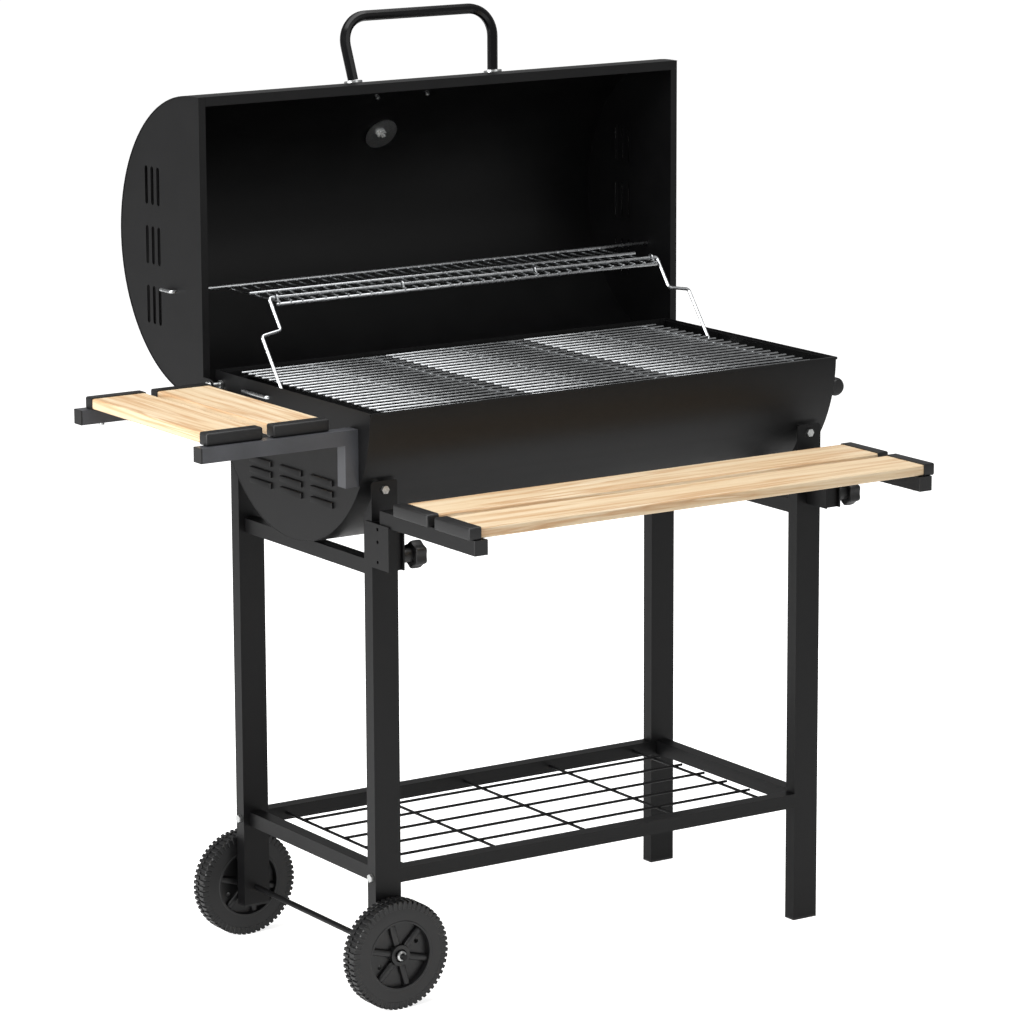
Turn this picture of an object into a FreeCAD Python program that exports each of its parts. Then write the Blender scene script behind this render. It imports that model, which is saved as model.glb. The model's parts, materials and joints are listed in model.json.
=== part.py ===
import FreeCAD, Part
import math
import os
import re
from FreeCAD import Placement, Rotation, Vector

# Barrel charcoal grill: a half-barrel firebox and a half-barrel lid on a four-legged stand, with a
# side table, a removable front bench, a warming rack that follows the lid, and two wheels.
# Frame: +X along the barrel to the right, +Y to the back, +Z up. The origin is on the floor under
# the middle of the whole grill. The stand's own middle sits at (frame_x, frame_y).

doc = FreeCAD.newDocument("barrel_grill")

# ---------------------------------------------------------------------------------------------
# Driving dimensions, millimetres and degrees
# ---------------------------------------------------------------------------------------------
DIMENSIONS = [
    ("frame_x", 90.5, "stand's middle, along X from the origin"),
    ("frame_y", 0.25, "stand's middle, along Y from the origin"),
    ("frame_long", 738.0, "outside of the legs along X"),
    ("frame_wide", 370.0, "outside of the legs along Y"),
    ("leg_wide", 40.0, "leg tube along X"),
    ("leg_deep", 20.0, "leg tube along Y"),
    ("tube_wall", 1.2, "wall of every tube in the stand"),
    ("rail_side", 20.0, "square tube of the rails and arms"),
    ("left_leg_foot", 52.0, "underside of the left legs above the floor"),
    ("leg_plug", 3.0, "thickness of the plastic plug under a leg"),
    ("tab_top", 717.0, "top of the tab that holds the firebox"),
    ("tab_bolt_z", 705.0, "bolt through the tab"),
    ("cope_gap", 15.0, "gap between the coped leg and the barrel"),
    ("upper_rail_z", 607.0, "top of the rails under the barrel"),
    ("shelf_rail_z", 186.0, "top of the shelf rails"),
    ("side_rail_inset", 10.0, "side rail's outer face from the leg's outer face"),
    ("shelf_pitch_x", 149.0, "pitch of the shelf's cross wires"),
    ("shelf_pitch_y", 55.0, "pitch of the shelf's long wires"),
    ("shelf_wire", 4.0, "shelf wire diameter"),
    ("rim_z", 812.0, "rim of the firebox and centre of its barrel"),
    ("box_radius", 203.0, "outside radius of the firebox"),
    ("box_half", 381.0, "half length of the firebox"),
    ("sheet", 1.2, "sheet steel of firebox and lid"),
    ("rim_flange", 3.0, "width of the hem on the firebox's front rim"),
    ("hinge_y", 185.0, "lid hinge axis from the stand's middle"),
    ("hinge_z", 794.0, "lid hinge axis above the floor"),
    ("pin_radius", 4.0, "hinge pin"),
    ("running", 0.05, "radial clearance of a running fit"),
    ("lid_radius", 210.0, "outside radius of the lid"),
    ("lid_half", 400.0, "half length of the lid"),
    ("lid_edge_z", 812.5, "lower edge of the closed lid"),
    ("lid_skirt", 18.0, "straight skirt below the lid's round part"),
    ("lid_lip", 13.0, "lip around the lid's opening"),
    ("open_angle", 90.0, "how far the lid stands open at rest"),
    ("wheel_radius", 75.0, "wheel over its tread"),
    ("wheel_width", 26.0, "wheel along its axle"),
    ("axle_radius", 4.0, "wheel axle"),
    ("axle_x", 349.0, "axle to the left of the stand's middle"),
    ("plank_wide", 84.0, "wooden plank with its caps, across the grain"),
    ("plank_thick", 17.0, "plank cap height"),
    ("plank_gap", 16.0, "gap between two planks"),
    ("cap_long", 18.0, "plastic cap along the plank"),
    ("cap_wall", 1.5, "wall of the plank cap"),
    ("bench_top", 699.0, "top of the front bench"),
    ("bench_front", 430.0, "front edge of the bench from the stand's middle"),
    ("bench_long", 750.0, "bench over its caps"),
    ("bench_arm_back", 204.0, "rear face of the bench arm's upright"),
    ("bench_upright", 58.0, "upright below the bench arm"),
    ("table_top", 804.0, "top of the side table"),
    ("table_reach", 604.0, "outer edge of the side table"),
    ("table_long", 330.0, "side table over its caps"),
    ("table_arm_reach", 615.0, "outer end of the side table's arms"),
    ("table_arm_y", 163.0, "centre line of a side table arm"),
    ("grate_z", 807.0, "centre height of the cooking grate's rods"),
    ("grate_half", 350.0, "half length of the three cooking grates"),
    ("grate_pitch", 18.5, "pitch of the cooking grate's rods"),
    ("rack_pivot_y", 276.0, "warming rack pivot in the open lid"),
    ("rack_pivot_z", 913.0, "warming rack pivot in the open lid"),
    ("rack_wire", 5.0, "main wire of the warming rack and its bail"),
    ("rack_half", 325.0, "half length of the warming rack"),
    ("bail_y", 149.0, "bail bar under the rack's front edge"),
    ("bail_z", 913.6, "bail bar under the rack's front edge"),
    ("carry_x", 423.0, "centre line of the carry handle's grip"),
    ("carry_z", 757.0, "height of the carry handle"),
    ("carry_half", 155.0, "half length of the carry handle's grip"),
]

sheet = doc.addObject("Spreadsheet::Sheet", "dims")
dim = {}
for row, (alias, value, note) in enumerate(DIMENSIONS, start=1):
    sheet.set("A%d" % row, alias)
    sheet.set("B%d" % row, str(value))
    sheet.set("C%d" % row, note)
    sheet.setAlias("B%d" % row, alias)
    dim[alias] = value
doc.recompute()

ALIASES = re.compile(r"\b(%s)\b" % "|".join(sorted(dim, key=len, reverse=True)))
X_AXIS = Vector(1, 0, 0)
Y_AXIS = Vector(0, 1, 0)
Z_AXIS = Vector(0, 0, 1)
ALONG_X = Rotation(Y_AXIS, 90)
ALONG_Y = Rotation(X_AXIS, -90)
UPPER_HALF = Rotation(Vector(1, 1, 1), 120)
LOWER_HALF = Rotation(X_AXIS, 180).multiply(UPPER_HALF)
SIDES = [("left", -1), ("right", 1)]
ENDS = [("front", -1), ("back", 1)]

subparts = []


# ---------------------------------------------------------------------------------------------
# Helpers: every formula is text in the sheet's names, and stays bound to the sheet
# ---------------------------------------------------------------------------------------------
def cells(formula):
    """A formula in bare dimension names as an expression on the sheet's cells."""
    return ALIASES.sub(r"dims.\1", str(formula))


def size(formula):
    """The value of a formula, for the shapes that Part makes directly."""
    result = sheet.evalExpression(cells(formula))
    return float(getattr(result, "Value", result))


def move(item, x, y, z):
    """Binds an object's position to three formulas."""
    for name, formula in (("x", x), ("y", y), ("z", z)):
        item.setExpression("Placement.Base." + name, cells(formula))
    return item


def box(x, y, z, length, width, height):
    """A block from its lowest corner and its three sizes."""
    item = doc.addObject("Part::Box", "block")
    for name, formula in (("Length", length), ("Width", width), ("Height", height)):
        item.setExpression(name, cells(formula))
    return move(item, x, y, z)


def cylinder(x, y, z, radius, length, turn=Rotation(), angle=360):
    """A cylinder from the centre of its first face, along local Z turned by a rotation."""
    item = doc.addObject("Part::Cylinder", "round")
    item.setExpression("Radius", cells(radius))
    item.setExpression("Height", cells(length))
    item.Angle = angle
    item.Placement = Placement(Vector(), turn)
    return move(item, x, y, z)


def hexagon(x, y, z, across, length, turn=Rotation()):
    """A hexagonal prism, across its flats, along local Z turned by a rotation."""
    item = doc.addObject("Part::Prism", "hexagon")
    item.Polygon = 6
    item.setExpression("Circumradius", cells("(%s) / 1.7320508" % across))
    item.setExpression("Height", cells(length))
    item.Placement = Placement(Vector(), turn)
    return move(item, x, y, z)


def fuse(*items):
    item = doc.addObject("Part::MultiFuse", "joined")
    item.Shapes = list(items)
    return item


def group(*items):
    item = doc.addObject("Part::Compound", "group")
    item.Links = list(items)
    return item


def cut(base, *tools):
    item = doc.addObject("Part::Cut", "trimmed")
    item.Base = base
    item.Tool = tools[0] if len(tools) == 1 else fuse(*tools)
    return item


def direct(shape):
    """A shape made with Part's own functions, as an object of the document."""
    item = doc.addObject("Part::Feature", "shape")
    item.Shape = shape
    return item


def subpart(label, item, x="0", y="0", z="0", turn=Rotation()):
    """Names a finished piece and places its local frame on the stand."""
    item.Label = label
    item.Placement = Placement(Vector(), turn)
    move(item, "frame_x + (%s)" % x, "frame_y + (%s)" % y, z)
    subparts.append(item)
    return item


def tube_box(x, y, z, length, width, height, along):
    """A rectangular tube, open along one axis."""
    lows, sizes = [x, y, z], [length, width, height]
    inner_lows, inner_sizes = [], []
    for axis in range(3):
        if axis == along:
            inner_lows.append("%s - 1" % lows[axis])
            inner_sizes.append("%s + 2" % sizes[axis])
        else:
            inner_lows.append("%s + tube_wall" % lows[axis])
            inner_sizes.append("%s - 2 * tube_wall" % sizes[axis])
    return cut(box(*lows, *sizes), box(*inner_lows, *inner_sizes))


def bent_rod(points, radius, bend):
    """A round rod along a polyline whose corners are tangent arcs of one radius."""
    nodes = [Vector(*point) for point in points]
    edges = []
    start = nodes[0]
    for before, corner, after in zip(nodes, nodes[1:], nodes[2:]):
        into = (corner - before).normalize()
        out = (after - corner).normalize()
        turn = into.getAngle(out)
        reach = bend * math.tan(turn / 2)
        first = corner - into * reach
        last = corner + out * reach
        middle_way = (out - into).normalize()
        middle = corner + middle_way * (bend / math.cos(turn / 2) - bend)
        if (first - start).Length > 1e-6:
            edges.append(Part.LineSegment(start, first).toShape())
        edges.append(Part.Arc(first, middle, last).toShape())
        start = last
    edges.append(Part.LineSegment(start, nodes[-1]).toShape())
    path = Part.Wire(edges)
    along = (nodes[1] - nodes[0]).normalize()
    section = Part.Wire([Part.makeCircle(radius, nodes[0], along)])
    return path.makePipeShell([section], True, False)


def straight_rod(start, end, radius):
    start, end = Vector(*start), Vector(*end)
    return Part.makeCylinder(radius, (end - start).Length, start, end - start)


def polygon_sketch(body, plane, points):
    """A closed outline on one of the body's origin planes, each corner bound to two formulas."""
    sketch = body.newObject("Sketcher::SketchObject", "outline")
    support = [item for item in body.Origin.OriginFeatures if item.Role == plane][0]
    sketch.AttachmentSupport = (support, [""])
    sketch.MapMode = "FlatFace"
    corners = [Vector(size(x), size(y), 0) for x, y in points]
    count = len(corners)
    for index in range(count):
        line = Part.LineSegment(corners[index], corners[(index + 1) % count])
        sketch.addGeometry(line, False)
    for index in range(count):
        sketch.addConstraint(Sketcher.Constraint("Coincident", index, 2, (index + 1) % count, 1))
    for index, (x, y) in enumerate(points):
        for kind, formula, axis in (("DistanceX", x, -2), ("DistanceY", y, -1)):
            value = size(formula)
            if abs(value) < 1e-9:
                sketch.addConstraint(Sketcher.Constraint("PointOnObject", index, 1, axis))
                continue
            number = sketch.addConstraint(Sketcher.Constraint(kind, -1, 1, index, 1, value))
            sketch.setExpression("Constraints[%d]" % number, cells(formula))
    return sketch


def circle_sketch(body, plane, x, y, radius):
    """A circle on one of the body's origin planes, bound to three formulas."""
    sketch = body.newObject("Sketcher::SketchObject", "circle")
    support = [item for item in body.Origin.OriginFeatures if item.Role == plane][0]
    sketch.AttachmentSupport = (support, [""])
    sketch.MapMode = "FlatFace"
    centre = Vector(size(x), size(y), 0)
    sketch.addGeometry(Part.Circle(centre, Z_AXIS, size(radius)), False)
    number = sketch.addConstraint(Sketcher.Constraint("Radius", 0, size(radius)))
    sketch.setExpression("Constraints[%d]" % number, cells(radius))
    for kind, formula, axis in (("DistanceX", x, -2), ("DistanceY", y, -1)):
        if abs(size(formula)) < 1e-9:
            sketch.addConstraint(Sketcher.Constraint("PointOnObject", 0, 3, axis))
            continue
        number = sketch.addConstraint(Sketcher.Constraint(kind, -1, 1, 0, 3, size(formula)))
        sketch.setExpression("Constraints[%d]" % number, cells(formula))
    return sketch


def pad(body, sketch, length, offset="0", midplane=False):
    """Pads a sketch along the normal of its plane, from an offset."""
    sketch.setExpression("AttachmentOffset.Base.z", cells(offset))
    feature = body.newObject("PartDesign::Pad", "pad")
    feature.Profile = sketch
    feature.setExpression("Length", cells(length))
    feature.Midplane = midplane
    return feature


def revolve(body, sketch):
    """Turns a sketch all the way round its vertical axis."""
    feature = body.newObject("PartDesign::Revolution", "revolution")
    feature.Profile = sketch
    feature.ReferenceAxis = (sketch, ["V_Axis"])
    feature.Angle = 360.0
    return feature


def repeat_round(body, feature, count):
    """Repeats a feature evenly about the body's Z axis."""
    pattern = body.newObject("PartDesign::PolarPattern", "pattern")
    pattern.Originals = [feature]
    axis = [item for item in body.Origin.OriginFeatures if item.Role == "Z_Axis"][0]
    pattern.Axis = (axis, [""])
    pattern.Angle = 360.0
    pattern.Occurrences = count
    body.Tip = pattern
    return pattern


# ---------------------------------------------------------------------------------------------
# Stand: legs, rails, shelf
# ---------------------------------------------------------------------------------------------
def leg(label, side, end, foot):
    """A rectangular tube, coped under the barrel, with a tab that the firebox is bolted to."""
    low_x = "frame_long / 2 - leg_wide" if side > 0 else "-frame_long / 2"
    low_y = "frame_wide / 2 - leg_deep" if end > 0 else "-frame_wide / 2"
    tube = tube_box(low_x, low_y, foot, "leg_wide", "leg_deep", "tab_top - (%s)" % foot, 2)
    cope = cylinder("-frame_long", "0", "rim_z", "box_radius + cope_gap", "2 * frame_long", ALONG_X)
    tab_y = "frame_wide / 2 - tube_wall" if end > 0 else "-frame_wide / 2"
    tab = box(low_x, tab_y, "tab_top - 45", "leg_wide", "tube_wall", "45")
    trim = 4.0
    corners = []
    for direction in (-1, 1):
        corner_x = "%s + leg_wide / 2 + %d * (leg_wide / 2 - %g)" % (low_x, direction, trim)
        block_x = corner_x if direction > 0 else "%s - %g" % (corner_x, trim)
        block = box(block_x, "%s - 1" % tab_y, "tab_top - %g" % trim, trim, "tube_wall + 2", trim + 1)
        keep = cylinder(corner_x, "%s - 2" % tab_y, "tab_top - %g" % trim, trim, "tube_wall + 4", ALONG_Y)
        corners.append(cut(block, keep))
    middle_x = "%s + leg_wide / 2" % low_x
    holes = [cylinder(middle_x, "%s - 1" % tab_y, "tab_bolt_z", "3.1", "tube_wall + 2", ALONG_Y)]
    rail_z = "shelf_rail_z - rail_side / 2"
    outer_x = "%d * frame_long / 2 - 2" % side
    holes.append(cylinder(outer_x, "%d * (frame_wide - leg_deep) / 2" % end, rail_z, "3.1", "4", ALONG_X))
    inner_x = "%d * (frame_long / 2 - leg_wide) - 2" % side
    holes.append(cylinder(inner_x, "%d * (frame_wide - leg_deep) / 2" % end, rail_z, "3.1", "4", ALONG_X))
    if side < 0:
        axle_y = "%s - 1" % low_y
        holes.append(cylinder("-axle_x", axle_y, "wheel_radius", "axle_radius + running",
                              "leg_deep + 2", ALONG_Y))
    subpart(label, cut(fuse(cut(tube, cope), tab), *(corners + holes)))


for side_name, side in SIDES:
    foot = "left_leg_foot" if side < 0 else "leg_plug"
    for end_name, end in ENDS:
        leg("leg_%s_%s" % (end_name, side_name), side, end, foot)

plugs = []
for side_name, side in SIDES:
    for end_name, end in ENDS:
        plug_z = "left_leg_foot - leg_plug" if side < 0 else "0"
        plug_x = "%d * (frame_long - leg_wide) / 2 - leg_wide / 2" % side
        plug_y = "%d * (frame_wide - leg_deep) / 2 - leg_deep / 2" % end
        rim = box(plug_x, plug_y, plug_z, "leg_wide", "leg_deep", "leg_plug")
        stem = box(plug_x + " + tube_wall + 0.1", plug_y + " + tube_wall + 0.1", plug_z,
                   "leg_wide - 2 * tube_wall - 0.2", "leg_deep - 2 * tube_wall - 0.2", "leg_plug + 12")
        plugs.append(fuse(rim, stem))
subpart("leg_plugs", group(*plugs))

for side_name, side in SIDES:
    near = "side_rail_inset" if side < 0 else "-side_rail_inset - rail_side"
    rail_x = "%d * frame_long / 2 + %s" % (side, near)
    rail_y = "-frame_wide / 2 + leg_deep"
    rail_long = "frame_wide - 2 * leg_deep"
    for name, top in (("upper_rail", "upper_rail_z"), ("shelf_rail", "shelf_rail_z")):
        rail = tube_box(rail_x, rail_y, top + " - rail_side", "rail_side", rail_long, "rail_side", 1)
        subpart("%s_%s" % (name, side_name), rail)

CROSS_WIRES = (-2, -1, 0, 1, 2)
LONG_WIRES = (-2, -1, 0, 1, 2)
for end_name, end in ENDS:
    rail_y = "frame_wide / 2 - leg_deep" if end > 0 else "-frame_wide / 2"
    rail = tube_box("-frame_long / 2 + leg_wide", rail_y, "shelf_rail_z - rail_side",
                    "frame_long - 2 * leg_wide", "rail_side", "rail_side", 0)
    hole_y = "%d * (frame_wide / 2 - rail_side) - 3" % end
    holes = [cylinder("%d * shelf_pitch_x" % wire, hole_y, "shelf_rail_z - rail_side / 2 - 0.5",
                      "shelf_wire / 2 + 0.1", "6", ALONG_Y) for wire in CROSS_WIRES]
    subpart("shelf_rail_" + end_name, cut(rail, *holes))

wires = []
cross_half = "(frame_wide / 2 - rail_side + 5)"
for wire in CROSS_WIRES:
    wires.append(cylinder("%d * shelf_pitch_x" % wire, "-" + cross_half,
                          "shelf_rail_z - rail_side / 2 - 0.5", "shelf_wire / 2",
                          "2 * " + cross_half, ALONG_Y))
for wire in LONG_WIRES:
    wires.append(cylinder("-2 * shelf_pitch_x - 8", "%d * shelf_pitch_y" % wire,
                          "shelf_rail_z - rail_side / 2 - 0.5 + shelf_wire - 0.3",
                          "shelf_wire / 2", "4 * shelf_pitch_x + 16", ALONG_X))
subpart("shelf_grid", fuse(*wires))

# ---------------------------------------------------------------------------------------------
# Firebox: half barrel, two ends, ledges for the cooking grates
# ---------------------------------------------------------------------------------------------
LEG_CENTRE_X = "(frame_long - leg_wide) / 2"


def half_shell(centre_z, radius, half_length, turn):
    """A half barrel of sheet steel about the X axis."""
    outside = cylinder("-(%s)" % half_length, "0", centre_z, radius, "2 * (%s)" % half_length, turn, 180)
    inside = cylinder("-(%s) - 1" % half_length, "0", centre_z, "%s - sheet" % radius,
                      "2 * (%s) + 2" % half_length, turn)
    return cut(outside, inside)


shell = half_shell("rim_z", "box_radius", "box_half", LOWER_HALF)
flange = box("-box_half", "-box_radius - rim_flange", "rim_z - sheet", "2 * box_half",
             "rim_flange + sheet", "sheet")
hem = box("-box_half", "-box_radius - rim_flange", "rim_z - 3.5", "2 * box_half", "sheet", "3.5")
bolt_holes = []
for side_name, side in SIDES:
    bolt_holes.append(cylinder("%d * %s" % (side, LEG_CENTRE_X), "-box_radius - 5", "tab_bolt_z", "3.3",
                               "2 * box_radius + 10", ALONG_Y))
subpart("firebox_shell", cut(fuse(shell, flange, hem), *bolt_holes))

LOUVRE_LONG = 50.0
LOUVRE_HIGH = 4.0
LOUVRE_PITCH_Y = 80.0
LOUVRE_PITCH_Z = 15.0
LOUVRE_TOP_Z = 704.0
bail_foot_y = size("bail_y - (rack_pivot_y - hinge_y)")
bail_foot_z = size("bail_z - (rack_pivot_z - hinge_z)")
for side_name, side in SIDES:
    plate_x = "box_half - sheet - 0.2"
    inward = "box_half - 12"
    if side < 0:
        plate_x, inward = "-box_half + 0.2", "-box_half + 0.2"
    plate = cylinder(plate_x, "0", "rim_z", "box_radius - sheet - 0.2", "sheet", LOWER_HALF, 180)
    ring_out = cylinder(inward, "0", "rim_z", "box_radius - sheet - 0.2", "11.8", LOWER_HALF, 180)
    ring_in = cylinder(inward + " - 1", "0", "rim_z", "box_radius - 2 * sheet - 0.2", "14", LOWER_HALF)
    top_x = "box_half - 4.2" if side > 0 else "-box_half + 0.2"
    top_edge = box(top_x, "-box_radius + 3", "rim_z - 4", "4", "2 * box_radius - 6", "sheet")
    holes = []
    for column in (-1, 0, 1):
        for line in (0, 1, 2):
            holes.append(box("%s - 2" % plate_x, column * LOUVRE_PITCH_Y - LOUVRE_LONG / 2,
                             LOUVRE_TOP_Z - line * LOUVRE_PITCH_Z - LOUVRE_HIGH / 2,
                             "sheet + 4", LOUVRE_LONG, LOUVRE_HIGH))
    holes.append(cylinder("%s - 2" % plate_x, "hinge_y", "hinge_z", "pin_radius + running",
                          "sheet + 4", ALONG_X))
    holes.append(cylinder("%s - 2" % plate_x, bail_foot_y, bail_foot_z, "rack_wire / 2 + running",
                          "sheet + 4", ALONG_X))
    if side < 0:
        for end_name, end in ENDS:
            for bolt_z in (725, 755):
                holes.append(cylinder("%s - 2" % plate_x, "%d * table_arm_y" % end, bolt_z, "3.1",
                                      "sheet + 4", ALONG_X))
    subpart("firebox_end_" + side_name, cut(fuse(plate, cut(ring_out, ring_in), top_edge), *holes))

LEDGE_Z = "grate_z - 6.9"
ledges = []
for end_name, end in ENDS:
    strip_y = "-box_radius + sheet + 0.55" if end < 0 else "box_radius - sheet - 18.55"
    wall_y = "-box_radius + sheet + 0.55" if end < 0 else "box_radius - 2 * sheet - 0.55"
    strip = box("-box_half + 16", strip_y, LEDGE_Z + " - sheet", "2 * box_half - 32", "18", "sheet")
    web = box("-box_half + 16", wall_y, LEDGE_Z + " - sheet", "2 * box_half - 32", "sheet", "9")
    ledges.append(fuse(strip, web))
subpart("grate_ledges", group(*ledges))

COAL_Z = 690.0
COAL_PITCH = 22.0
coal_half_y = math.sqrt((dim["box_radius"] - dim["sheet"]) ** 2 - (dim["rim_z"] - COAL_Z + 7) ** 2) - 0.5
for side_name, side in SIDES:
    near, far = side * 2.0, side * (dim["box_half"] - 20)
    rods = []
    for number in range(-6, 7):
        rod_y = number * COAL_PITCH
        rods.append(straight_rod((near, rod_y, COAL_Z), (far, rod_y, COAL_Z), 2.5))
    for fraction in (0.12, 0.5, 0.88):
        bar_x = near + (far - near) * fraction
        bar_z = COAL_Z - 4.5
        rods.append(straight_rod((bar_x, -coal_half_y, bar_z), (bar_x, coal_half_y, bar_z), 2.5))
    subpart("charcoal_grate_" + side_name, direct(rods[0].multiFuse(rods[1:])))

# ---------------------------------------------------------------------------------------------
# Cooking grates: three welded wire grids side by side
# ---------------------------------------------------------------------------------------------
ROD_RADIUS = 2.0
BAR_RADIUS = 2.5
grate_long = 2 * dim["grate_half"] / 3
for number, name in enumerate(("left", "middle", "right")):
    low_x = -dim["grate_half"] + number * grate_long + 0.6
    high_x = low_x + grate_long - 1.2
    rods = []
    for line in range(-10, 11):
        rod_y = line * dim["grate_pitch"]
        rods.append(straight_rod((low_x, rod_y, dim["grate_z"]), (high_x, rod_y, dim["grate_z"]),
                                 ROD_RADIUS))
    for bar_x in (low_x + 14, (low_x + high_x) / 2, high_x - 14):
        bar_z = dim["grate_z"] - ROD_RADIUS - BAR_RADIUS + 0.4
        rods.append(straight_rod((bar_x, -191, bar_z), (bar_x, 191, bar_z), BAR_RADIUS))
    subpart("cooking_grate_" + name, direct(rods[0].multiFuse(rods[1:])))

# ---------------------------------------------------------------------------------------------
# Lid: modelled closed, about its hinge axis, and placed open
# ---------------------------------------------------------------------------------------------
LID_TURN = Rotation(X_AXIS, -dim["open_angle"])
LID_Y = "hinge_y - hinge_y * cos(open_angle) - hinge_z * sin(open_angle)"
LID_Z = "hinge_z + hinge_y * sin(open_angle) - hinge_z * cos(open_angle)"
CENTRE = "(lid_edge_z + lid_skirt)"
HANDLE_ANGLE = 10.8
HANDLE_HALF = 117.0
HANDLE_TOP_HALF = 128.0
HANDLE_REACH = 93.0
THERMO_ANGLE = 57.0
BADGE_ANGLE = 33.3
BADGE_STUD = 42.0
FITTING_X = 11.0


def lid_part(label, item):
    """Places a piece that was modelled on the closed lid, swung open about the hinge axis."""
    subpart(label, item, "0", LID_Y, LID_Z, LID_TURN)


def lid_fitting(label, item, angle, x="0", spin=0):
    """Places a piece on the lid's outer face: its local Z is the outward normal there."""
    level, height = math.cos(math.radians(angle)), math.sin(math.radians(angle))
    out_y = "(-lid_radius * %.9f - hinge_y)" % level
    out_z = "(%s + lid_radius * %.9f - hinge_z)" % (CENTRE, height)
    place_y = "hinge_y + %s * cos(open_angle) + %s * sin(open_angle)" % (out_y, out_z)
    place_z = "hinge_z - %s * sin(open_angle) + %s * cos(open_angle)" % (out_y, out_z)
    turn = Rotation(X_AXIS, 90 - angle - dim["open_angle"]).multiply(Rotation(Z_AXIS, spin))
    subpart(label, item, x, place_y, place_z, turn)


def lid_hole(x, angle, radius):
    """A hole through the closed lid along its normal at an angle above level."""
    turn = Rotation(X_AXIS, 90 - angle)
    level, height = math.cos(math.radians(angle)), math.sin(math.radians(angle))
    return cylinder(x, "-(lid_radius - 10) * %.9f" % level, CENTRE + " + (lid_radius - 10) * %.9f" % height,
                    radius, "20", turn)


arc = half_shell(CENTRE, "lid_radius", "lid_half", UPPER_HALF)
front_skirt = box("-lid_half", "-lid_radius", "lid_edge_z", "2 * lid_half", "sheet", "lid_skirt + 0.5")
back_skirt = box("-lid_half", "lid_radius - sheet", "lid_edge_z", "2 * lid_half", "sheet",
                 "lid_skirt + 0.5")
front_lip = box("-lid_half + 11.6", "-lid_radius", "lid_edge_z", "2 * lid_half - 23.2", "lid_lip", "sheet")
lid_holes = [lid_hole(FITTING_X, THERMO_ANGLE, "4.1")]
for side in (-1, 1):
    lid_holes.append(lid_hole(side * HANDLE_HALF, HANDLE_ANGLE, "3.1"))
    lid_holes.append(lid_hole(FITTING_X + side * BADGE_STUD, BADGE_ANGLE, "1.6"))
lid_part("lid_shell", cut(fuse(arc, front_skirt, back_skirt, front_lip), *lid_holes))

EAR_RADIUS = 9.0
VENT_LONG = 54.0
VENT_HIGH = 8.0
VENT_PITCH_Y = 84.0
VENT_PITCH_Z = 16.5
VENT_LOW_Z = 931.0
VENT_SHIFT_Y = 9.0
closed_pivot_y = dim["hinge_y"] - (dim["rack_pivot_z"] - dim["hinge_z"])
closed_pivot_z = dim["hinge_z"] + (dim["rack_pivot_y"] - dim["hinge_y"])
for side_name, side in SIDES:
    plate_x = "lid_half - 2 * sheet + 0.6" if side > 0 else "-lid_half + sheet - 0.6"
    disc = cylinder(plate_x, "0", CENTRE, "lid_radius - sheet - 0.2", "sheet", UPPER_HALF, 180)
    skirt = box(plate_x, "-lid_radius + sheet + 0.2", "lid_edge_z", "sheet",
                "2 * (lid_radius - sheet - 0.2)", "lid_skirt + 0.5")
    ear_low = cylinder(plate_x, "hinge_y", "hinge_z", EAR_RADIUS, "sheet", ALONG_X)
    ear = box(plate_x, "hinge_y - %g" % EAR_RADIUS, "hinge_z", "sheet", 2 * EAR_RADIUS,
              "lid_edge_z - hinge_z + 2")
    lip_x = plate_x + " - 9.7 + 0.2" if side > 0 else plate_x + " + sheet - 0.2"
    lip = box(lip_x, "-lid_radius + sheet + 0.2", "lid_edge_z", "9.7",
              "2 * (lid_radius - sheet - 0.2)", "sheet")
    holes = [cylinder(plate_x + " - 2", "hinge_y", "hinge_z", "pin_radius + running", "sheet + 4", ALONG_X),
             cylinder(plate_x + " - 2", closed_pivot_y, closed_pivot_z, "rack_wire / 2 + running",
                      "sheet + 4", ALONG_X)]
    for column in (-1, 0, 1):
        for line in (0, 1, 2):
            slot_y = column * VENT_PITCH_Y + VENT_SHIFT_Y
            slot_z = VENT_LOW_Z + line * VENT_PITCH_Z
            straight = VENT_LONG / 2 - VENT_HIGH / 2
            holes.append(box(plate_x + " - 2", slot_y - straight, slot_z - VENT_HIGH / 2,
                             "sheet + 4", 2 * straight, VENT_HIGH))
            for way in (-1, 1):
                holes.append(cylinder(plate_x + " - 2", slot_y + way * straight, slot_z, VENT_HIGH / 2,
                                      "sheet + 4", ALONG_X))
    lid_part("lid_end_" + side_name, cut(fuse(disc, skirt, ear_low, ear, lip), *holes))

PIN_HEAD_X = 400.5
pins = []
for side in (-1, 1):
    shank_x = "374" if side > 0 else "-402.5"
    pins.append(cylinder(shank_x, "hinge_y", "hinge_z", "pin_radius", "28.5", ALONG_X))
    head_x = "%g" % PIN_HEAD_X if side > 0 else "-%g - 4" % PIN_HEAD_X
    pins.append(cylinder(head_x, "hinge_y", "hinge_z", "6", "4", ALONG_X))
    for near, thick in ((381, 4.5), (374.9, 4.5)):
        nut_x = near if side > 0 else -near - thick
        pins.append(hexagon(nut_x, "hinge_y", "hinge_z", "11", thick, ALONG_X))
subpart("hinge_pins", fuse(*pins))

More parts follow.
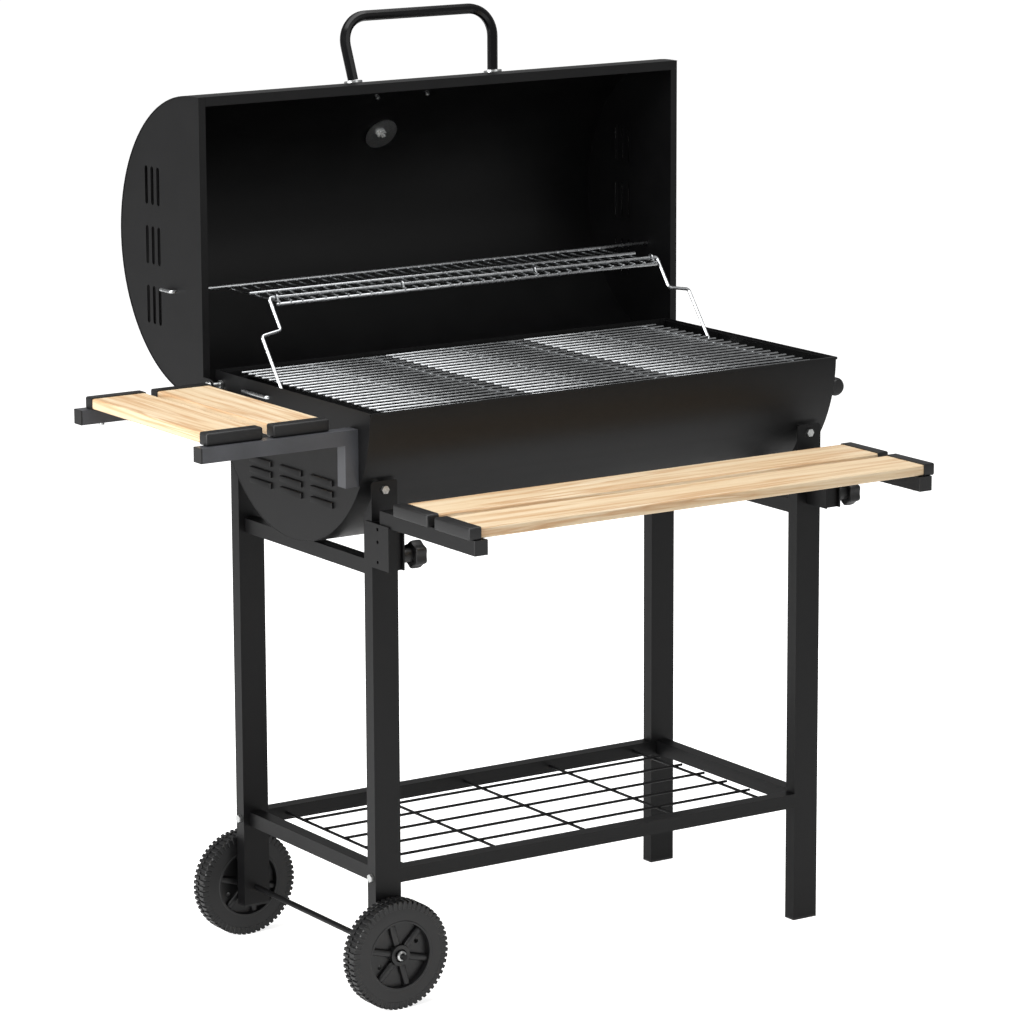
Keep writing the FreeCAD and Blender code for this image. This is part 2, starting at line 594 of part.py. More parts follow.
# ---------------------------------------------------------------------------------------------
# Lid fittings, in a frame on the lid's outer face: handle, badge plate, thermometer
# ---------------------------------------------------------------------------------------------
FOOT_THICK = 3.0
handle = bent_rod([(-HANDLE_HALF, 0, FOOT_THICK + 0.95), (-HANDLE_TOP_HALF, 0, HANDLE_REACH),
                   (HANDLE_TOP_HALF, 0, HANDLE_REACH), (HANDLE_HALF, 0, FOOT_THICK + 0.95)], 7.5, 40)
lid_fitting("lid_handle", direct(handle), HANDLE_ANGLE)
feet = []
for side in (-1, 1):
    foot_x = side * HANDLE_HALF
    feet.append(cylinder(foot_x, "0", "0", "13", FOOT_THICK - 0.02))
    feet.append(cylinder(foot_x, "0", "-10", "3", 10 + FOOT_THICK - 0.1))
    feet.append(cylinder(foot_x, "0", "-sheet - 1.7", "9", "1.4"))
    feet.append(hexagon(foot_x, "0", "-sheet - 6.5", "10", "5"))
lid_fitting("lid_handle_feet", fuse(*feet), HANDLE_ANGLE)

BADGE_LONG = 110.0
BADGE_HIGH = 28.0
badge = [box(-BADGE_LONG / 2, -BADGE_HIGH / 2, "0", BADGE_LONG, BADGE_HIGH, "1.6")]
for side in (-1, 1):
    badge.append(cylinder(side * BADGE_STUD, "0", "-6", "1.5", "7"))
    badge.append(cylinder(side * BADGE_STUD, "0", "-sheet - 3.2", "3.5", "3"))
lid_fitting("lid_badge", fuse(*badge), BADGE_ANGLE, FITTING_X)

DIAL_RADIUS = 31.0
CASE_DEEP = 15.0
case_body = doc.addObject("PartDesign::Body", "case")
case_outline = [("pin_radius + 0.1", "0"), (DIAL_RADIUS - 3, "0"), (DIAL_RADIUS, "4"),
                (DIAL_RADIUS, CASE_DEEP - 1),
                (DIAL_RADIUS - 1, CASE_DEEP), (DIAL_RADIUS - 4, CASE_DEEP),
                (DIAL_RADIUS - 4, CASE_DEEP - 1.2),
                (DIAL_RADIUS - 1.8, CASE_DEEP - 1.2), (DIAL_RADIUS - 1.8, "5"), ("pin_radius + 0.1", "5")]
revolve(case_body, polygon_sketch(case_body, "XZ_Plane", case_outline))
lid_fitting("thermometer_case", case_body, THERMO_ANGLE, FITTING_X)

lens_body = doc.addObject("PartDesign::Body", "lens")
pad(lens_body, circle_sketch(lens_body, "XY_Plane", "0", "0", DIAL_RADIUS - 2), "1.5", CASE_DEEP - 2.8)
lid_fitting("thermometer_lens", lens_body, THERMO_ANGLE, FITTING_X)

STEM_END = -14.0
stem = cylinder("0", "0", STEM_END, "3", 6.5 - STEM_END)
boss = cylinder("0", "0", "-sheet - 12", "pin_radius", "sheet + 17.5")
plate = cylinder("0", "0", "-sheet - 3.3", "25", "1.6")
back_nut = hexagon("0", "0", "-sheet - 9", "13", "6")
lid_fitting("thermometer_back", fuse(stem, boss, plate, back_nut), THERMO_ANGLE, FITTING_X)

COLD_READING = 135.0
needle_body = doc.addObject("PartDesign::Body", "needle")
pad(needle_body, circle_sketch(needle_body, "XY_Plane", "0", "0", "3.2"), "2.2", "7")
needle_outline = [(-2.2, "-8"), ("2.2", "-8"), ("0.6", "22"), (-0.6, "22")]
pad(needle_body, polygon_sketch(needle_body, "XY_Plane", needle_outline), "0.8", "7.6")
lid_fitting("thermometer_needle", needle_body, THERMO_ANGLE, FITTING_X, COLD_READING)

# ---------------------------------------------------------------------------------------------
# Warming rack, hung between the lid's ends and the bail, and the bail itself
# ---------------------------------------------------------------------------------------------
RACK_FRONT_Y = 139.0
RACK_MIDDLE_Y = 203.0
RACK_FRONT_HALF = 319.0
CROSS_RADIUS = 1.5
CROSS_PITCH = dim["grate_pitch"]
wire = dim["rack_wire"] / 2
back_y, level_z = dim["rack_pivot_y"], dim["rack_pivot_z"]
bar_y, bar_z = dim["bail_y"], dim["bail_z"]
rack_half = dim["rack_half"]
TAIL_X = 407.0
cross_z = level_z - wire - CROSS_RADIUS + 0.3
front_z = cross_z - wire - CROSS_RADIUS + 0.3
rack = [bent_rod([(-TAIL_X, back_y + 30, level_z), (-TAIL_X, back_y, level_z), (TAIL_X, back_y, level_z),
                  (TAIL_X, back_y + 30, level_z)], wire, 5.5),
        straight_rod((-rack_half, RACK_MIDDLE_Y, level_z), (rack_half, RACK_MIDDLE_Y, level_z), wire),
        straight_rod((-RACK_FRONT_HALF, RACK_FRONT_Y, front_z), (RACK_FRONT_HALF, RACK_FRONT_Y, front_z),
                     wire)]
for number in range(-17, 18):
    rod_x = number * CROSS_PITCH
    rack.append(straight_rod((rod_x, RACK_FRONT_Y - 3, cross_z), (rod_x, back_y + 2, cross_z),
                             CROSS_RADIUS))
HOOK_RADIUS = 1.4
HOOK_REACH = wire + CROSS_RADIUS + 0.5
hook_top = bar_z + HOOK_REACH
for number in (-17, -6, 6, 17):
    hook_x = number * CROSS_PITCH
    hook = [(hook_x, RACK_FRONT_Y, front_z), (hook_x, bar_y - HOOK_REACH, hook_top),
            (hook_x, bar_y + HOOK_REACH, hook_top), (hook_x, bar_y + HOOK_REACH, cross_z - 0.4)]
    rack.append(bent_rod(hook, HOOK_RADIUS, 4.4))
subpart("warming_rack", direct(rack[0].multiFuse(rack[1:])))

JOG_X = 357.0
BAIL_TAIL_X = 383.8
jog_from, jog_to = 0.62, 0.66
foot_y, foot_z = bail_foot_y, bail_foot_z


def on_leg(x, share):
    """A point on the bail's leg, at a share of the way from its foot to its bar."""
    return (x, foot_y + (bar_y - foot_y) * share, foot_z + (bar_z - foot_z) * share)


bail_points = [(-BAIL_TAIL_X, foot_y + 65, foot_z), (-BAIL_TAIL_X, foot_y, foot_z), on_leg(-JOG_X, 0),
               on_leg(-JOG_X, jog_from), on_leg(-rack_half, jog_to), on_leg(-rack_half, 1)]
bail_points += [(-x, y, z) for x, y, z in reversed(bail_points)]
subpart("rack_bail", direct(bent_rod(bail_points, wire, 2.9)))

# ---------------------------------------------------------------------------------------------
# Planks with moulded end caps, for the side table and the front bench
# ---------------------------------------------------------------------------------------------
FIT = 0.05


def plank(label, x, y, z, length, width, holes):
    """A wooden board with slightly rounded long edges; z is the underside of its end caps."""
    across = length if float(size(length)) < float(size(width)) else width
    body = doc.addObject("PartDesign::Body", "board")
    half_wide = "((%s) / 2 - cap_wall - %g)" % (across, FIT)
    half_thick = "(plank_thick / 2 - cap_wall - %g)" % FIT
    soft = "1.5"
    points = []
    for first, second in ((1, 1), (-1, 1), (-1, -1), (1, -1)):
        corner = ("%d * %s" % (first, half_wide), "%d * (%s - %s)" % (second, half_thick, soft))
        edge = ("%d * (%s - %s)" % (first, half_wide, soft), "%d * %s" % (second, half_thick))
        points += [corner, edge] if first * second > 0 else [edge, corner]
    along_x = across == width
    plane = "YZ_Plane" if along_x else "XZ_Plane"
    run = "(%s) - 2 * cap_wall - %g" % (length if along_x else width, 2 * FIT)
    pad(body, polygon_sketch(body, plane, points), run, midplane=True)
    middle = ["(%s) + (%s) / 2" % (x, length), "(%s) + (%s) / 2" % (y, width),
              "(%s) + plank_thick / 2" % z]
    move(body, *middle)
    drills = [cylinder(hole_x, hole_y, "%s - 1" % z, "2.6", "11", Rotation()) for hole_x, hole_y in holes]
    subpart(label, cut(body, *drills))


def cap(x, y, z, length, width, inner_x, inner_y):
    """A moulded cap with a socket: inner_x and inner_y say which way its mouth faces."""
    outside = box(x, y, z, length, width, "plank_thick")
    low_x = "%s - 2" % x if inner_x < 0 else "%s + cap_wall" % x
    low_y = "%s - 2" % y if inner_y < 0 else "%s + cap_wall" % y
    long_x = "%s - 2 * cap_wall" % length if inner_x == 0 else "%s - cap_wall + 2" % length
    long_y = "%s - 2 * cap_wall" % width if inner_y == 0 else "%s - cap_wall + 2" % width
    socket = box(low_x, low_y, "%s + cap_wall" % z, long_x, long_y, "plank_thick - 2 * cap_wall")
    return cut(outside, socket)


def ell_arm(lying, standing):
    """An L of square tube from two outer blocks (x, y, z, length, width, height)."""
    outer, inner = [], []
    for block, keep in ((lying, 2), (standing, 0)):
        outer.append(box(*block))
        inset = ["%s + tube_wall" % low for low in block[:3]]
        less = ["%s - 2 * tube_wall" % long for long in block[3:]]
        inner.append(box(*inset, *less))
    return cut(fuse(*outer), fuse(*inner))


TABLE_ARM_Z = "table_top - plank_thick - rail_side"
table_plank_x = ["-table_reach", "-table_reach + plank_wide + plank_gap"]
SCREW_Y = 157.0
table_screws = []
arm_end = "-box_half - rail_side"
screw_x = ["-table_reach + 20", "-table_reach + plank_wide - 20",
           "-table_reach + plank_wide + plank_gap + 20", "-table_reach + 2 * plank_wide + plank_gap - 20"]
for end_name, end in ENDS:
    arm_y = "%d * table_arm_y - rail_side / 2" % end
    arm = ell_arm(("-table_arm_reach", arm_y, TABLE_ARM_Z, "table_arm_reach - box_half", "rail_side",
                   "rail_side"),
                  (arm_end, arm_y, "710", "rail_side", "rail_side", TABLE_ARM_Z + " + rail_side - 710"))
    open_end = box("-table_arm_reach - 1", arm_y + " + tube_wall", TABLE_ARM_Z + " + tube_wall", "4",
                   "rail_side - 2 * tube_wall", "rail_side - 2 * tube_wall")
    foot_end = box(arm_end + " + tube_wall", arm_y + " + tube_wall", "709", "rail_side - 2 * tube_wall",
                   "rail_side - 2 * tube_wall", "4")
    drills = [cylinder(spot, end * SCREW_Y, TABLE_ARM_Z + " - 1", "2.6", "rail_side + 2")
              for spot in screw_x]
    for bolt_z in (725, 755):
        drills.append(cylinder("-box_half - 4", "%d * table_arm_y" % end, bolt_z, "3.1", "6", ALONG_X))
    subpart("table_arm_" + end_name, cut(arm, open_end, foot_end, *drills))
    for spot in screw_x:
        table_screws.append(cylinder(spot, end * SCREW_Y, TABLE_ARM_Z, "2.5", "rail_side + 9"))
        table_screws.append(cylinder(spot, end * SCREW_Y, TABLE_ARM_Z + " - 2.5", "3.9", "2.5"))
subpart("table_screws", fuse(*table_screws))

caps = []
spots = [(spot, end * SCREW_Y) for spot in screw_x for end in (-1, 1)]
for number, name in enumerate(("outer", "inner")):
    plank("table_plank_" + name, table_plank_x[number], "-table_long / 2", "table_top - plank_thick",
          "plank_wide", "table_long", spots[number * 4:number * 4 + 4])
    for end in (-1, 1):
        cap_y = "-table_long / 2" if end < 0 else "table_long / 2 - cap_long"
        shape = cap(table_plank_x[number], cap_y, "table_top - plank_thick", "plank_wide", "cap_long",
                    0, -end)
        own = [cylinder(spot, side_y, "table_top - plank_thick - 1", "2.6", "4")
               for spot, side_y in spots[number * 4:number * 4 + 4] if side_y * end > 0]
        caps.append(cut(shape, *own))
subpart("table_plank_caps", group(*caps))

plug_parts = []
for end in (-1, 1):
    plug_y = "%d * table_arm_y - rail_side / 2" % end
    plug_parts.append(box("-table_arm_reach - 2", plug_y, TABLE_ARM_Z, "2", "rail_side", "rail_side"))
    plug_parts.append(box("-table_arm_reach - 0.5", plug_y + " + tube_wall + 0.1",
                          TABLE_ARM_Z + " + tube_wall + 0.1", "2.5",
                          "rail_side - 2 * tube_wall - 0.2", "rail_side - 2 * tube_wall - 0.2"))
pairs = [fuse(plug_parts[0], plug_parts[1]), fuse(plug_parts[2], plug_parts[3])]
subpart("table_arm_plugs", group(*pairs))

# Front bench: lifts out of two U brackets, clamped there by star knobs
BENCH_ARM_Z = "bench_top - plank_thick - rail_side"
BENCH_ARM_X = 358.5
BRACKET_LOW = 604.0
BRACKET_HIGH = 60.0
CLAMP_Y = -214.0
CLAMP_Z = 620.0
RIVET_Y = -202.0
RIVET_Z = (657.0, 640.0, 613.0)
plank_y = ["-bench_front", "-bench_front + plank_wide + plank_gap"]
screw_y = ["-bench_front + 20", "-bench_front + plank_wide - 20",
           "-bench_front + plank_wide + plank_gap + 20", "-bench_front + 2 * plank_wide + plank_gap - 20"]
bench_screws = []
fasteners = []
for side_name, side in SIDES:
    arm_x = "%g - rail_side / 2" % (side * BENCH_ARM_X)
    arm = ell_arm((arm_x, "-bench_front", BENCH_ARM_Z, "rail_side", "bench_front - bench_arm_back",
                   "rail_side"),
                  (arm_x, "-bench_arm_back - rail_side", BENCH_ARM_Z + " - bench_upright", "rail_side",
                   "rail_side", "bench_upright + rail_side"))
    open_end = box(arm_x + " + tube_wall", "-bench_front - 1", BENCH_ARM_Z + " + tube_wall",
                   "rail_side - 2 * tube_wall", "4", "rail_side - 2 * tube_wall")
    foot_end = box(arm_x + " + tube_wall", "-bench_arm_back - rail_side + tube_wall",
                   BENCH_ARM_Z + " - bench_upright - 1", "rail_side - 2 * tube_wall",
                   "rail_side - 2 * tube_wall", "4")
    drills = [cylinder(side * BENCH_ARM_X, spot, BENCH_ARM_Z + " - 1", "2.6", "rail_side + 2")
              for spot in screw_y]
    subpart("bench_arm_" + side_name, cut(arm, open_end, foot_end, *drills))
    for spot in screw_y:
        bench_screws.append(cylinder(side * BENCH_ARM_X, spot, BENCH_ARM_Z, "2.5", "rail_side + 9"))
        bench_screws.append(cylinder(side * BENCH_ARM_X, spot, BENCH_ARM_Z + " - 2.5", "4.5", "2.5"))
    outer_x = "369" if side > 0 else "-371"
    inner_x = "346" if side > 0 else "-348"
    web_x = "346" if side > 0 else "-371"
    outer = box(outer_x, "-229", BRACKET_LOW, "2", "56", BRACKET_HIGH)
    inner = box(inner_x, "-229", BRACKET_LOW, "2", "43", BRACKET_HIGH)
    web = box(web_x, "-187", BRACKET_LOW, "25", "2", BRACKET_HIGH)
    holes = [cylinder(outer_x + " - 1", RIVET_Y, rivet_z, "2.5", "4", ALONG_X) for rivet_z in RIVET_Z]
    clamp_x = "-349" if side < 0 else "368"
    holes.append(cylinder(clamp_x, CLAMP_Y, CLAMP_Z, "pin_radius + running", "4", ALONG_X))
    subpart("bench_bracket_" + side_name, cut(fuse(outer, inner, web), *holes))
subpart("bench_screws", fuse(*bench_screws))

for number, name in enumerate(("front", "back")):
    own = [("%g" % (side * BENCH_ARM_X), spot)
           for side in (-1, 1) for spot in screw_y[2 * number:2 * number + 2]]
    plank("bench_plank_" + name, "-bench_long / 2", plank_y[number], "bench_top - plank_thick",
          "bench_long", "plank_wide", own)
caps = []
for number in (0, 1):
    for side in (-1, 1):
        cap_x = "-bench_long / 2" if side < 0 else "bench_long / 2 - cap_long"
        shape = cap(cap_x, plank_y[number], "bench_top - plank_thick", "cap_long", "plank_wide", -side, 0)
        own = [cylinder(side * BENCH_ARM_X, spot, "bench_top - plank_thick - 1", "2.6", "4")
               for spot in screw_y[2 * number:2 * number + 2]]
        caps.append(cut(shape, *own))
subpart("bench_plank_caps", group(*caps))

plugs = []
for side in (-1, 1):
    plug_x = "%g - rail_side / 2" % (side * BENCH_ARM_X)
    rim = box(plug_x, "-bench_front - 2", BENCH_ARM_Z, "rail_side", "2", "rail_side")
    stem = box(plug_x + " + tube_wall + 0.1", "-bench_front - 0.5", BENCH_ARM_Z + " + tube_wall + 0.1",
               "rail_side - 2 * tube_wall - 0.2", "2.5", "rail_side - 2 * tube_wall - 0.2")
    plugs.append(fuse(rim, stem))
subpart("bench_arm_plugs", group(*plugs))

# Star knobs: six lobes on a hub, with a threaded shank that reaches the bench's upright
KNOB_THICK = 17.0
HUB_LONG = 16.0
for side_name, side in SIDES:
    knob = doc.addObject("PartDesign::Body", "knob")
    pad(knob, circle_sketch(knob, "XY_Plane", "0", "0", "10"), HUB_LONG + 1, "1.6")
    pad(knob, circle_sketch(knob, "XY_Plane", "0", "0", "15"), KNOB_THICK, HUB_LONG + 1.6)
    lobe = pad(knob, circle_sketch(knob, "XY_Plane", "12.5", "0", "6.5"), KNOB_THICK, HUB_LONG + 1.6)
    repeat_round(knob, lobe, 6)
    pad(knob, circle_sketch(knob, "XY_Plane", "0", "0", "pin_radius"), "6", "-2.4")
    face_x = "-346" if side < 0 else "371"
    subpart("star_knob_" + side_name, knob, face_x, CLAMP_Y, CLAMP_Z, ALONG_X)
    washer = cylinder(face_x, CLAMP_Y, CLAMP_Z, "11", "1.3", ALONG_X)
    fasteners.append(cut(washer, cylinder("%s - 1" % face_x, CLAMP_Y, CLAMP_Z, "4.4", "4", ALONG_X)))

# ---------------------------------------------------------------------------------------------
# Wheels on their axle, at the left legs
# ---------------------------------------------------------------------------------------------
TOOTH_COUNT = 30
SPOKE_COUNT = 6
WHEEL_GAP = 4.0
WHEEL_Y = dim["frame_wide"] / 2 + WHEEL_GAP
for end_name, end in ENDS:
    wheel = doc.addObject("PartDesign::Body", "wheel")
    half = "wheel_width / 2"
    outline = [("axle_radius + running", "-" + half), ("15", "-" + half), ("17", "-4"), ("46", "-4"),
               ("49", "-%s" % half), ("wheel_radius - 6", "-" + half),
               ("wheel_radius - 3.5", "-%s + 3" % half),
               ("wheel_radius - 3.5", "%s - 3" % half), ("wheel_radius - 6", half), ("49", half),
               ("46", "4"), ("17", "4"), ("15", half), ("axle_radius + running", half)]
    revolve(wheel, polygon_sketch(wheel, "XZ_Plane", outline))
    spoke_outline = [("14", "-5"), ("48.5", "-3.5"), ("48.5", "3.5"), ("14", "5")]
    spoke = pad(wheel, polygon_sketch(wheel, "XY_Plane", spoke_outline), "wheel_width - 8", midplane=True)
    repeat_round(wheel, spoke, SPOKE_COUNT)
    tooth_outline = [("wheel_radius - 5", "-5"), ("wheel_radius - 0.15", "-4"),
                     ("wheel_radius - 0.15", "4"), ("wheel_radius - 5", "5")]
    tooth = pad(wheel, polygon_sketch(wheel, "XY_Plane", tooth_outline), "wheel_width - 3", midplane=True)
    repeat_round(wheel, tooth, TOOTH_COUNT)
    subpart("wheel_" + end_name, wheel, "-axle_x", "%d * (%g + %s)" % (end, WHEEL_Y, half), "wheel_radius",
            ALONG_Y)
    spacer_y = WHEEL_Y - WHEEL_GAP if end > 0 else -WHEEL_Y + 0.3
    spacer = cylinder("-axle_x", spacer_y, "wheel_radius", "9", WHEEL_GAP - 0.3, ALONG_Y)
    bore = cylinder("-axle_x", spacer_y - 1, "wheel_radius", "axle_radius + running", WHEEL_GAP + 2, ALONG_Y)
    fasteners.append(cut(spacer, bore))
AXLE_HALF = 225.0
subpart("axle", cylinder("0", "0", "0", "axle_radius", 2 * AXLE_HALF), "-axle_x", -AXLE_HALF,
        "wheel_radius", ALONG_Y)
nuts = []
for end in (-1, 1):
    face_y = WHEEL_Y + dim["wheel_width"] + 0.3
    washer_y = face_y if end > 0 else -face_y - 1.5
    nut_y = face_y + 1.5 if end > 0 else -face_y - 8
    ring = cylinder("-axle_x", washer_y, "wheel_radius", "9", "1.5", ALONG_Y)
    nut = hexagon("-axle_x", nut_y, "wheel_radius", "13", "6.5", ALONG_Y)
    bore = cylinder("-axle_x", washer_y - 10, "wheel_radius", "axle_radius + 0.02", "22", ALONG_Y)
    nuts.append(cut(fuse(ring, nut), bore))
subpart("axle_nuts", group(*nuts))

# ---------------------------------------------------------------------------------------------
# Carry handle on the right end
# ---------------------------------------------------------------------------------------------
POST_Y = 130.0
grip = cylinder("carry_x", "-carry_half", "carry_z", "13", "2 * carry_half", ALONG_Y)
sockets = [cylinder("carry_x - 20", post_y, "carry_z", "5.05", "18", ALONG_X)
           for post_y in (-POST_Y, POST_Y)]
subpart("carry_handle_grip", cut(grip, *sockets))
posts = []
for post_y in (-POST_Y, POST_Y):
    post = cylinder("box_half - 0.2", post_y, "carry_z", "5", "carry_x - box_half - 2", ALONG_X)
    shoe = cylinder("box_half - 0.2", post_y, "carry_z", "9", "2", ALONG_X)
    posts.append(fuse(post, shoe))
subpart("carry_handle_posts", group(*posts))

# ---------------------------------------------------------------------------------------------
# Bolts, nuts and washers of the frame
# ---------------------------------------------------------------------------------------------
for side_name, side in SIDES:
    for end_name, end in ENDS:
        bolt_x = "%d * %s" % (side, LEG_CENTRE_X)
        low = {-1: -189.0, 1: 160.0}[end]
        fasteners.append(cylinder(bolt_x, low, "tab_bolt_z", "3", "29", ALONG_Y))
        head_y = -189.0 if end < 0 else 185.0
        fasteners.append(hexagon(bolt_x, head_y, "tab_bolt_z", "10", "4", ALONG_Y))
        nut_y = -183.8 if end < 0 else 179.3
        fasteners.append(hexagon(bolt_x, nut_y, "tab_bolt_z", "10", "4.5", ALONG_Y))
        rail_y = "%d * (frame_wide - leg_deep) / 2" % end
        rail_z = "shelf_rail_z - rail_side / 2"
        shank_x = "-frame_long / 2 - 2" if side < 0 else "frame_long / 2 - leg_wide - 10"
        fasteners.append(cylinder(shank_x, rail_y, rail_z, "3", "leg_wide + 12", ALONG_X))
        head_x = "-frame_long / 2 - 4" if side < 0 else "frame_long / 2"
        fasteners.append(hexagon(head_x, rail_y, rail_z, "10", "4", ALONG_X))
for end in (-1, 1):
    for bolt_z in (725, 755):
        fasteners.append(cylinder("-box_half - 12", "%d * table_arm_y" % end, bolt_z, "3", "18", ALONG_X))
        fasteners.append(hexagon("-box_half + 1.4", "%d * table_arm_y" % end, bolt_z, "10", "4", ALONG_X))
subpart("frame_fasteners", fuse(*fasteners))

# ---------------------------------------------------------------------------------------------
# Checks and export
# ---------------------------------------------------------------------------------------------
doc.recompute()
for item in doc.Objects:
    if "Invalid" in item.State or "Error" in item.State:
        raise RuntimeError("%s (%s) did not compute: %s" % (item.Label, item.Name, item.State))
os.makedirs("parts", exist_ok=True)
for part in subparts:
    if part.Shape.isNull() or not part.Shape.isValid() or part.Shape.Volume < 1:
        raise RuntimeError(part.Label + " has no valid shape")
    part.Shape.exportStep("parts/%s.step" % part.Label)
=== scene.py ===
# %% [markdown]
# # Barrel charcoal grill
# The imported CAD model is the frame of this scene: it fixes every size and every moving body. This
# first cell loads it and gives a helper that reads a node's box, since the finished looks are built inside
# those boxes. The finished looks have to stay inside that box.

import json
import math

import bpy
from mathutils import Matrix, Vector


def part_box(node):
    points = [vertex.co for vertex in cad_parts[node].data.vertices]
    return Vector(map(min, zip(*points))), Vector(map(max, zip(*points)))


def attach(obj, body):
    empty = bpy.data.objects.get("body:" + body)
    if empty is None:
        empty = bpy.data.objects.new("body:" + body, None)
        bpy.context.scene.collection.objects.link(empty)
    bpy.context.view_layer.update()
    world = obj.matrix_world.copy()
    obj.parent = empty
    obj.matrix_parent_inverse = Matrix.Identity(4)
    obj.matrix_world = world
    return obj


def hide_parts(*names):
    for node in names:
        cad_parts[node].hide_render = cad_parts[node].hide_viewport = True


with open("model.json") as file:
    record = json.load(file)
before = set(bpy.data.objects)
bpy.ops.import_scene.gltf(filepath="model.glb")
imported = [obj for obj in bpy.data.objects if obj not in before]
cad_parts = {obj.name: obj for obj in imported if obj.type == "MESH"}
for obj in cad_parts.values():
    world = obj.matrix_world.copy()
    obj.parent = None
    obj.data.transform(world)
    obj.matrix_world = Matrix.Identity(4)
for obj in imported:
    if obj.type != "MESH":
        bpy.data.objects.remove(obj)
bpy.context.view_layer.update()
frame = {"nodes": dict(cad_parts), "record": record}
nodes = frame["nodes"]
MM = 0.001

# %% [markdown]
# ## Where things are
# The CAD is dimensioned from the middle of the stand. The barrel is centred on that middle along its
# length, and the axle is centred on it from front to back, so those two nodes give it back. After this,
# a place can be written in the same millimetres as the design.

# %% The stand's middle
barrel_low, barrel_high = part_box("firebox_shell")
axle_low, axle_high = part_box("axle")
STAND = Vector(((barrel_low.x + barrel_high.x) / 2, (axle_low.y + axle_high.y) / 2, 0))


def at(x, y, z):
    """A place in millimetres from the stand's middle, as metres in the frame."""
    return STAND + Vector((x, y, z)) * MM


print("stand's middle:", [round(value, 5) for value in STAND])

# %% [markdown]
# ## Small helpers
# Colours are given as the hex values a colour picker shows, which are sRGB, and Blender's sockets want
# linear light, so one function converts them. A material is a chain of nodes, so a second function adds
# a node, sets its values and links its inputs in one call. Keeping to those two makes every recipe below
# read like a list.

# %% Colour and node helpers
def linear(hex_colour):
    """An sRGB hex colour as linear RGBA."""
    channels = [int(hex_colour[i:i + 2], 16) / 255 for i in (1, 3, 5)]
    return [c / 12.92 if c <= 0.04045 else ((c + 0.055) / 1.055) ** 2.4 for c in channels] + [1.0]


def add(tree, kind, settings=None, links=None):
    """Adds a node; settings name its properties or inputs, and links name what feeds its inputs."""
    made = tree.nodes.new(kind)
    for name, value in (settings or {}).items():
        if isinstance(name, str) and hasattr(made, name):
            setattr(made, name, value)
        else:
            made.inputs[name].default_value = value
    for name, source in (links or {}).items():
        tree.links.new(source, made.inputs[name])
    return made


def ramp(tree, source, stops):
    """A colour ramp between (position, hex colour) stops."""
    made = add(tree, "ShaderNodeValToRGB", links={"Fac": source})
    elements = made.color_ramp.elements
    while len(elements) < len(stops):
        elements.new(0.5)
    for element, (position, colour) in zip(elements, stops):
        element.position = position
        element.color = linear(colour)
    return made.outputs["Color"]


def new_material(name):
    """An empty node material; gives its tree, its shader and object coordinates."""
    made = bpy.data.materials.new(name)
    made.use_nodes = True
    tree = made.node_tree
    shader = tree.nodes["Principled BSDF"]
    place = tree.nodes.new("ShaderNodeTexCoord").outputs["Object"]
    return made, tree, shader, place


def per_metre(millimetres):
    """The scale of a noise whose features are this far apart."""
    return 1000.0 / millimetres


# %% [markdown]
# ## Powder coat
# The barrel and stand are steel with a baked black polyester powder coat. The powder melts into a film
# that keeps a fine orange-peel texture about a millimetre apart, so highlights are soft and break up
# slightly. Handling leaves faint dull patches a few centimetres across. Black reads from its sheen, not
# its colour, so roughness does most of the work.

# %% Powder coat
def make_powder_coat(name, dark, light, rough_low, rough_high):
    made, tree, shader, place = new_material(name)
    patches = add(tree, "ShaderNodeTexNoise", {"Scale": per_metre(60), "Detail": 4.0, "Roughness": 0.6},
                  {"Vector": place})
    colour = ramp(tree, patches.outputs["Fac"], [(0.35, dark), (0.7, light)])
    rough = add(tree, "ShaderNodeMapRange", {"To Min": rough_low, "To Max": rough_high},
                {"Value": patches.outputs["Fac"]})
    peel = add(tree, "ShaderNodeTexNoise", {"Scale": per_metre(1.4), "Detail": 2.0}, {"Vector": place})
    bump = add(tree, "ShaderNodeBump", {"Strength": 0.12, "Distance": 0.0002},
               {"Height": peel.outputs["Fac"]})
    tree.links.new(colour, shader.inputs["Base Color"])
    tree.links.new(rough.outputs["Result"], shader.inputs["Roughness"])
    tree.links.new(bump.outputs["Normal"], shader.inputs["Normal"])
    return made


powder_coat = make_powder_coat("black polyester powder coat", "#050506", "#09090a", 0.40, 0.50)
silver_coat = make_powder_coat("graphite grey powder coat", "#3a3b3e", "#45464a", 0.36, 0.46)
gloss_coat = make_powder_coat("gloss black powder coat", "#060607", "#0b0b0c", 0.16, 0.24)
for coat in (powder_coat, gloss_coat):
    coat.node_tree.nodes["Principled BSDF"].inputs["Specular IOR Level"].default_value = 0.28


# %% [markdown]
# ## Chrome wire
# Grates, rack and bail are bright-drawn steel wire, welded and then chrome plated. Plating over drawn
# wire is not a perfect mirror: faint ripples a few millimetres apart spread each highlight.

# %% Chrome-plated wire and zinc-plated hardware
def make_plated(name, dark, light, rough_low, rough_high, grain_mm):
    made, tree, shader, place = new_material(name)
    ripple = add(tree, "ShaderNodeTexNoise", {"Scale": per_metre(grain_mm), "Detail": 3.0}, {"Vector": place})
    colour = ramp(tree, ripple.outputs["Fac"], [(0.3, dark), (0.7, light)])
    rough = add(tree, "ShaderNodeMapRange", {"To Min": rough_low, "To Max": rough_high},
                {"Value": ripple.outputs["Fac"]})
    bump = add(tree, "ShaderNodeBump", {"Strength": 0.08, "Distance": 0.0002},
               {"Height": ripple.outputs["Fac"]})
    shader.inputs["Metallic"].default_value = 1.0
    tree.links.new(colour, shader.inputs["Base Color"])
    tree.links.new(rough.outputs["Result"], shader.inputs["Roughness"])
    tree.links.new(bump.outputs["Normal"], shader.inputs["Normal"])
    return made


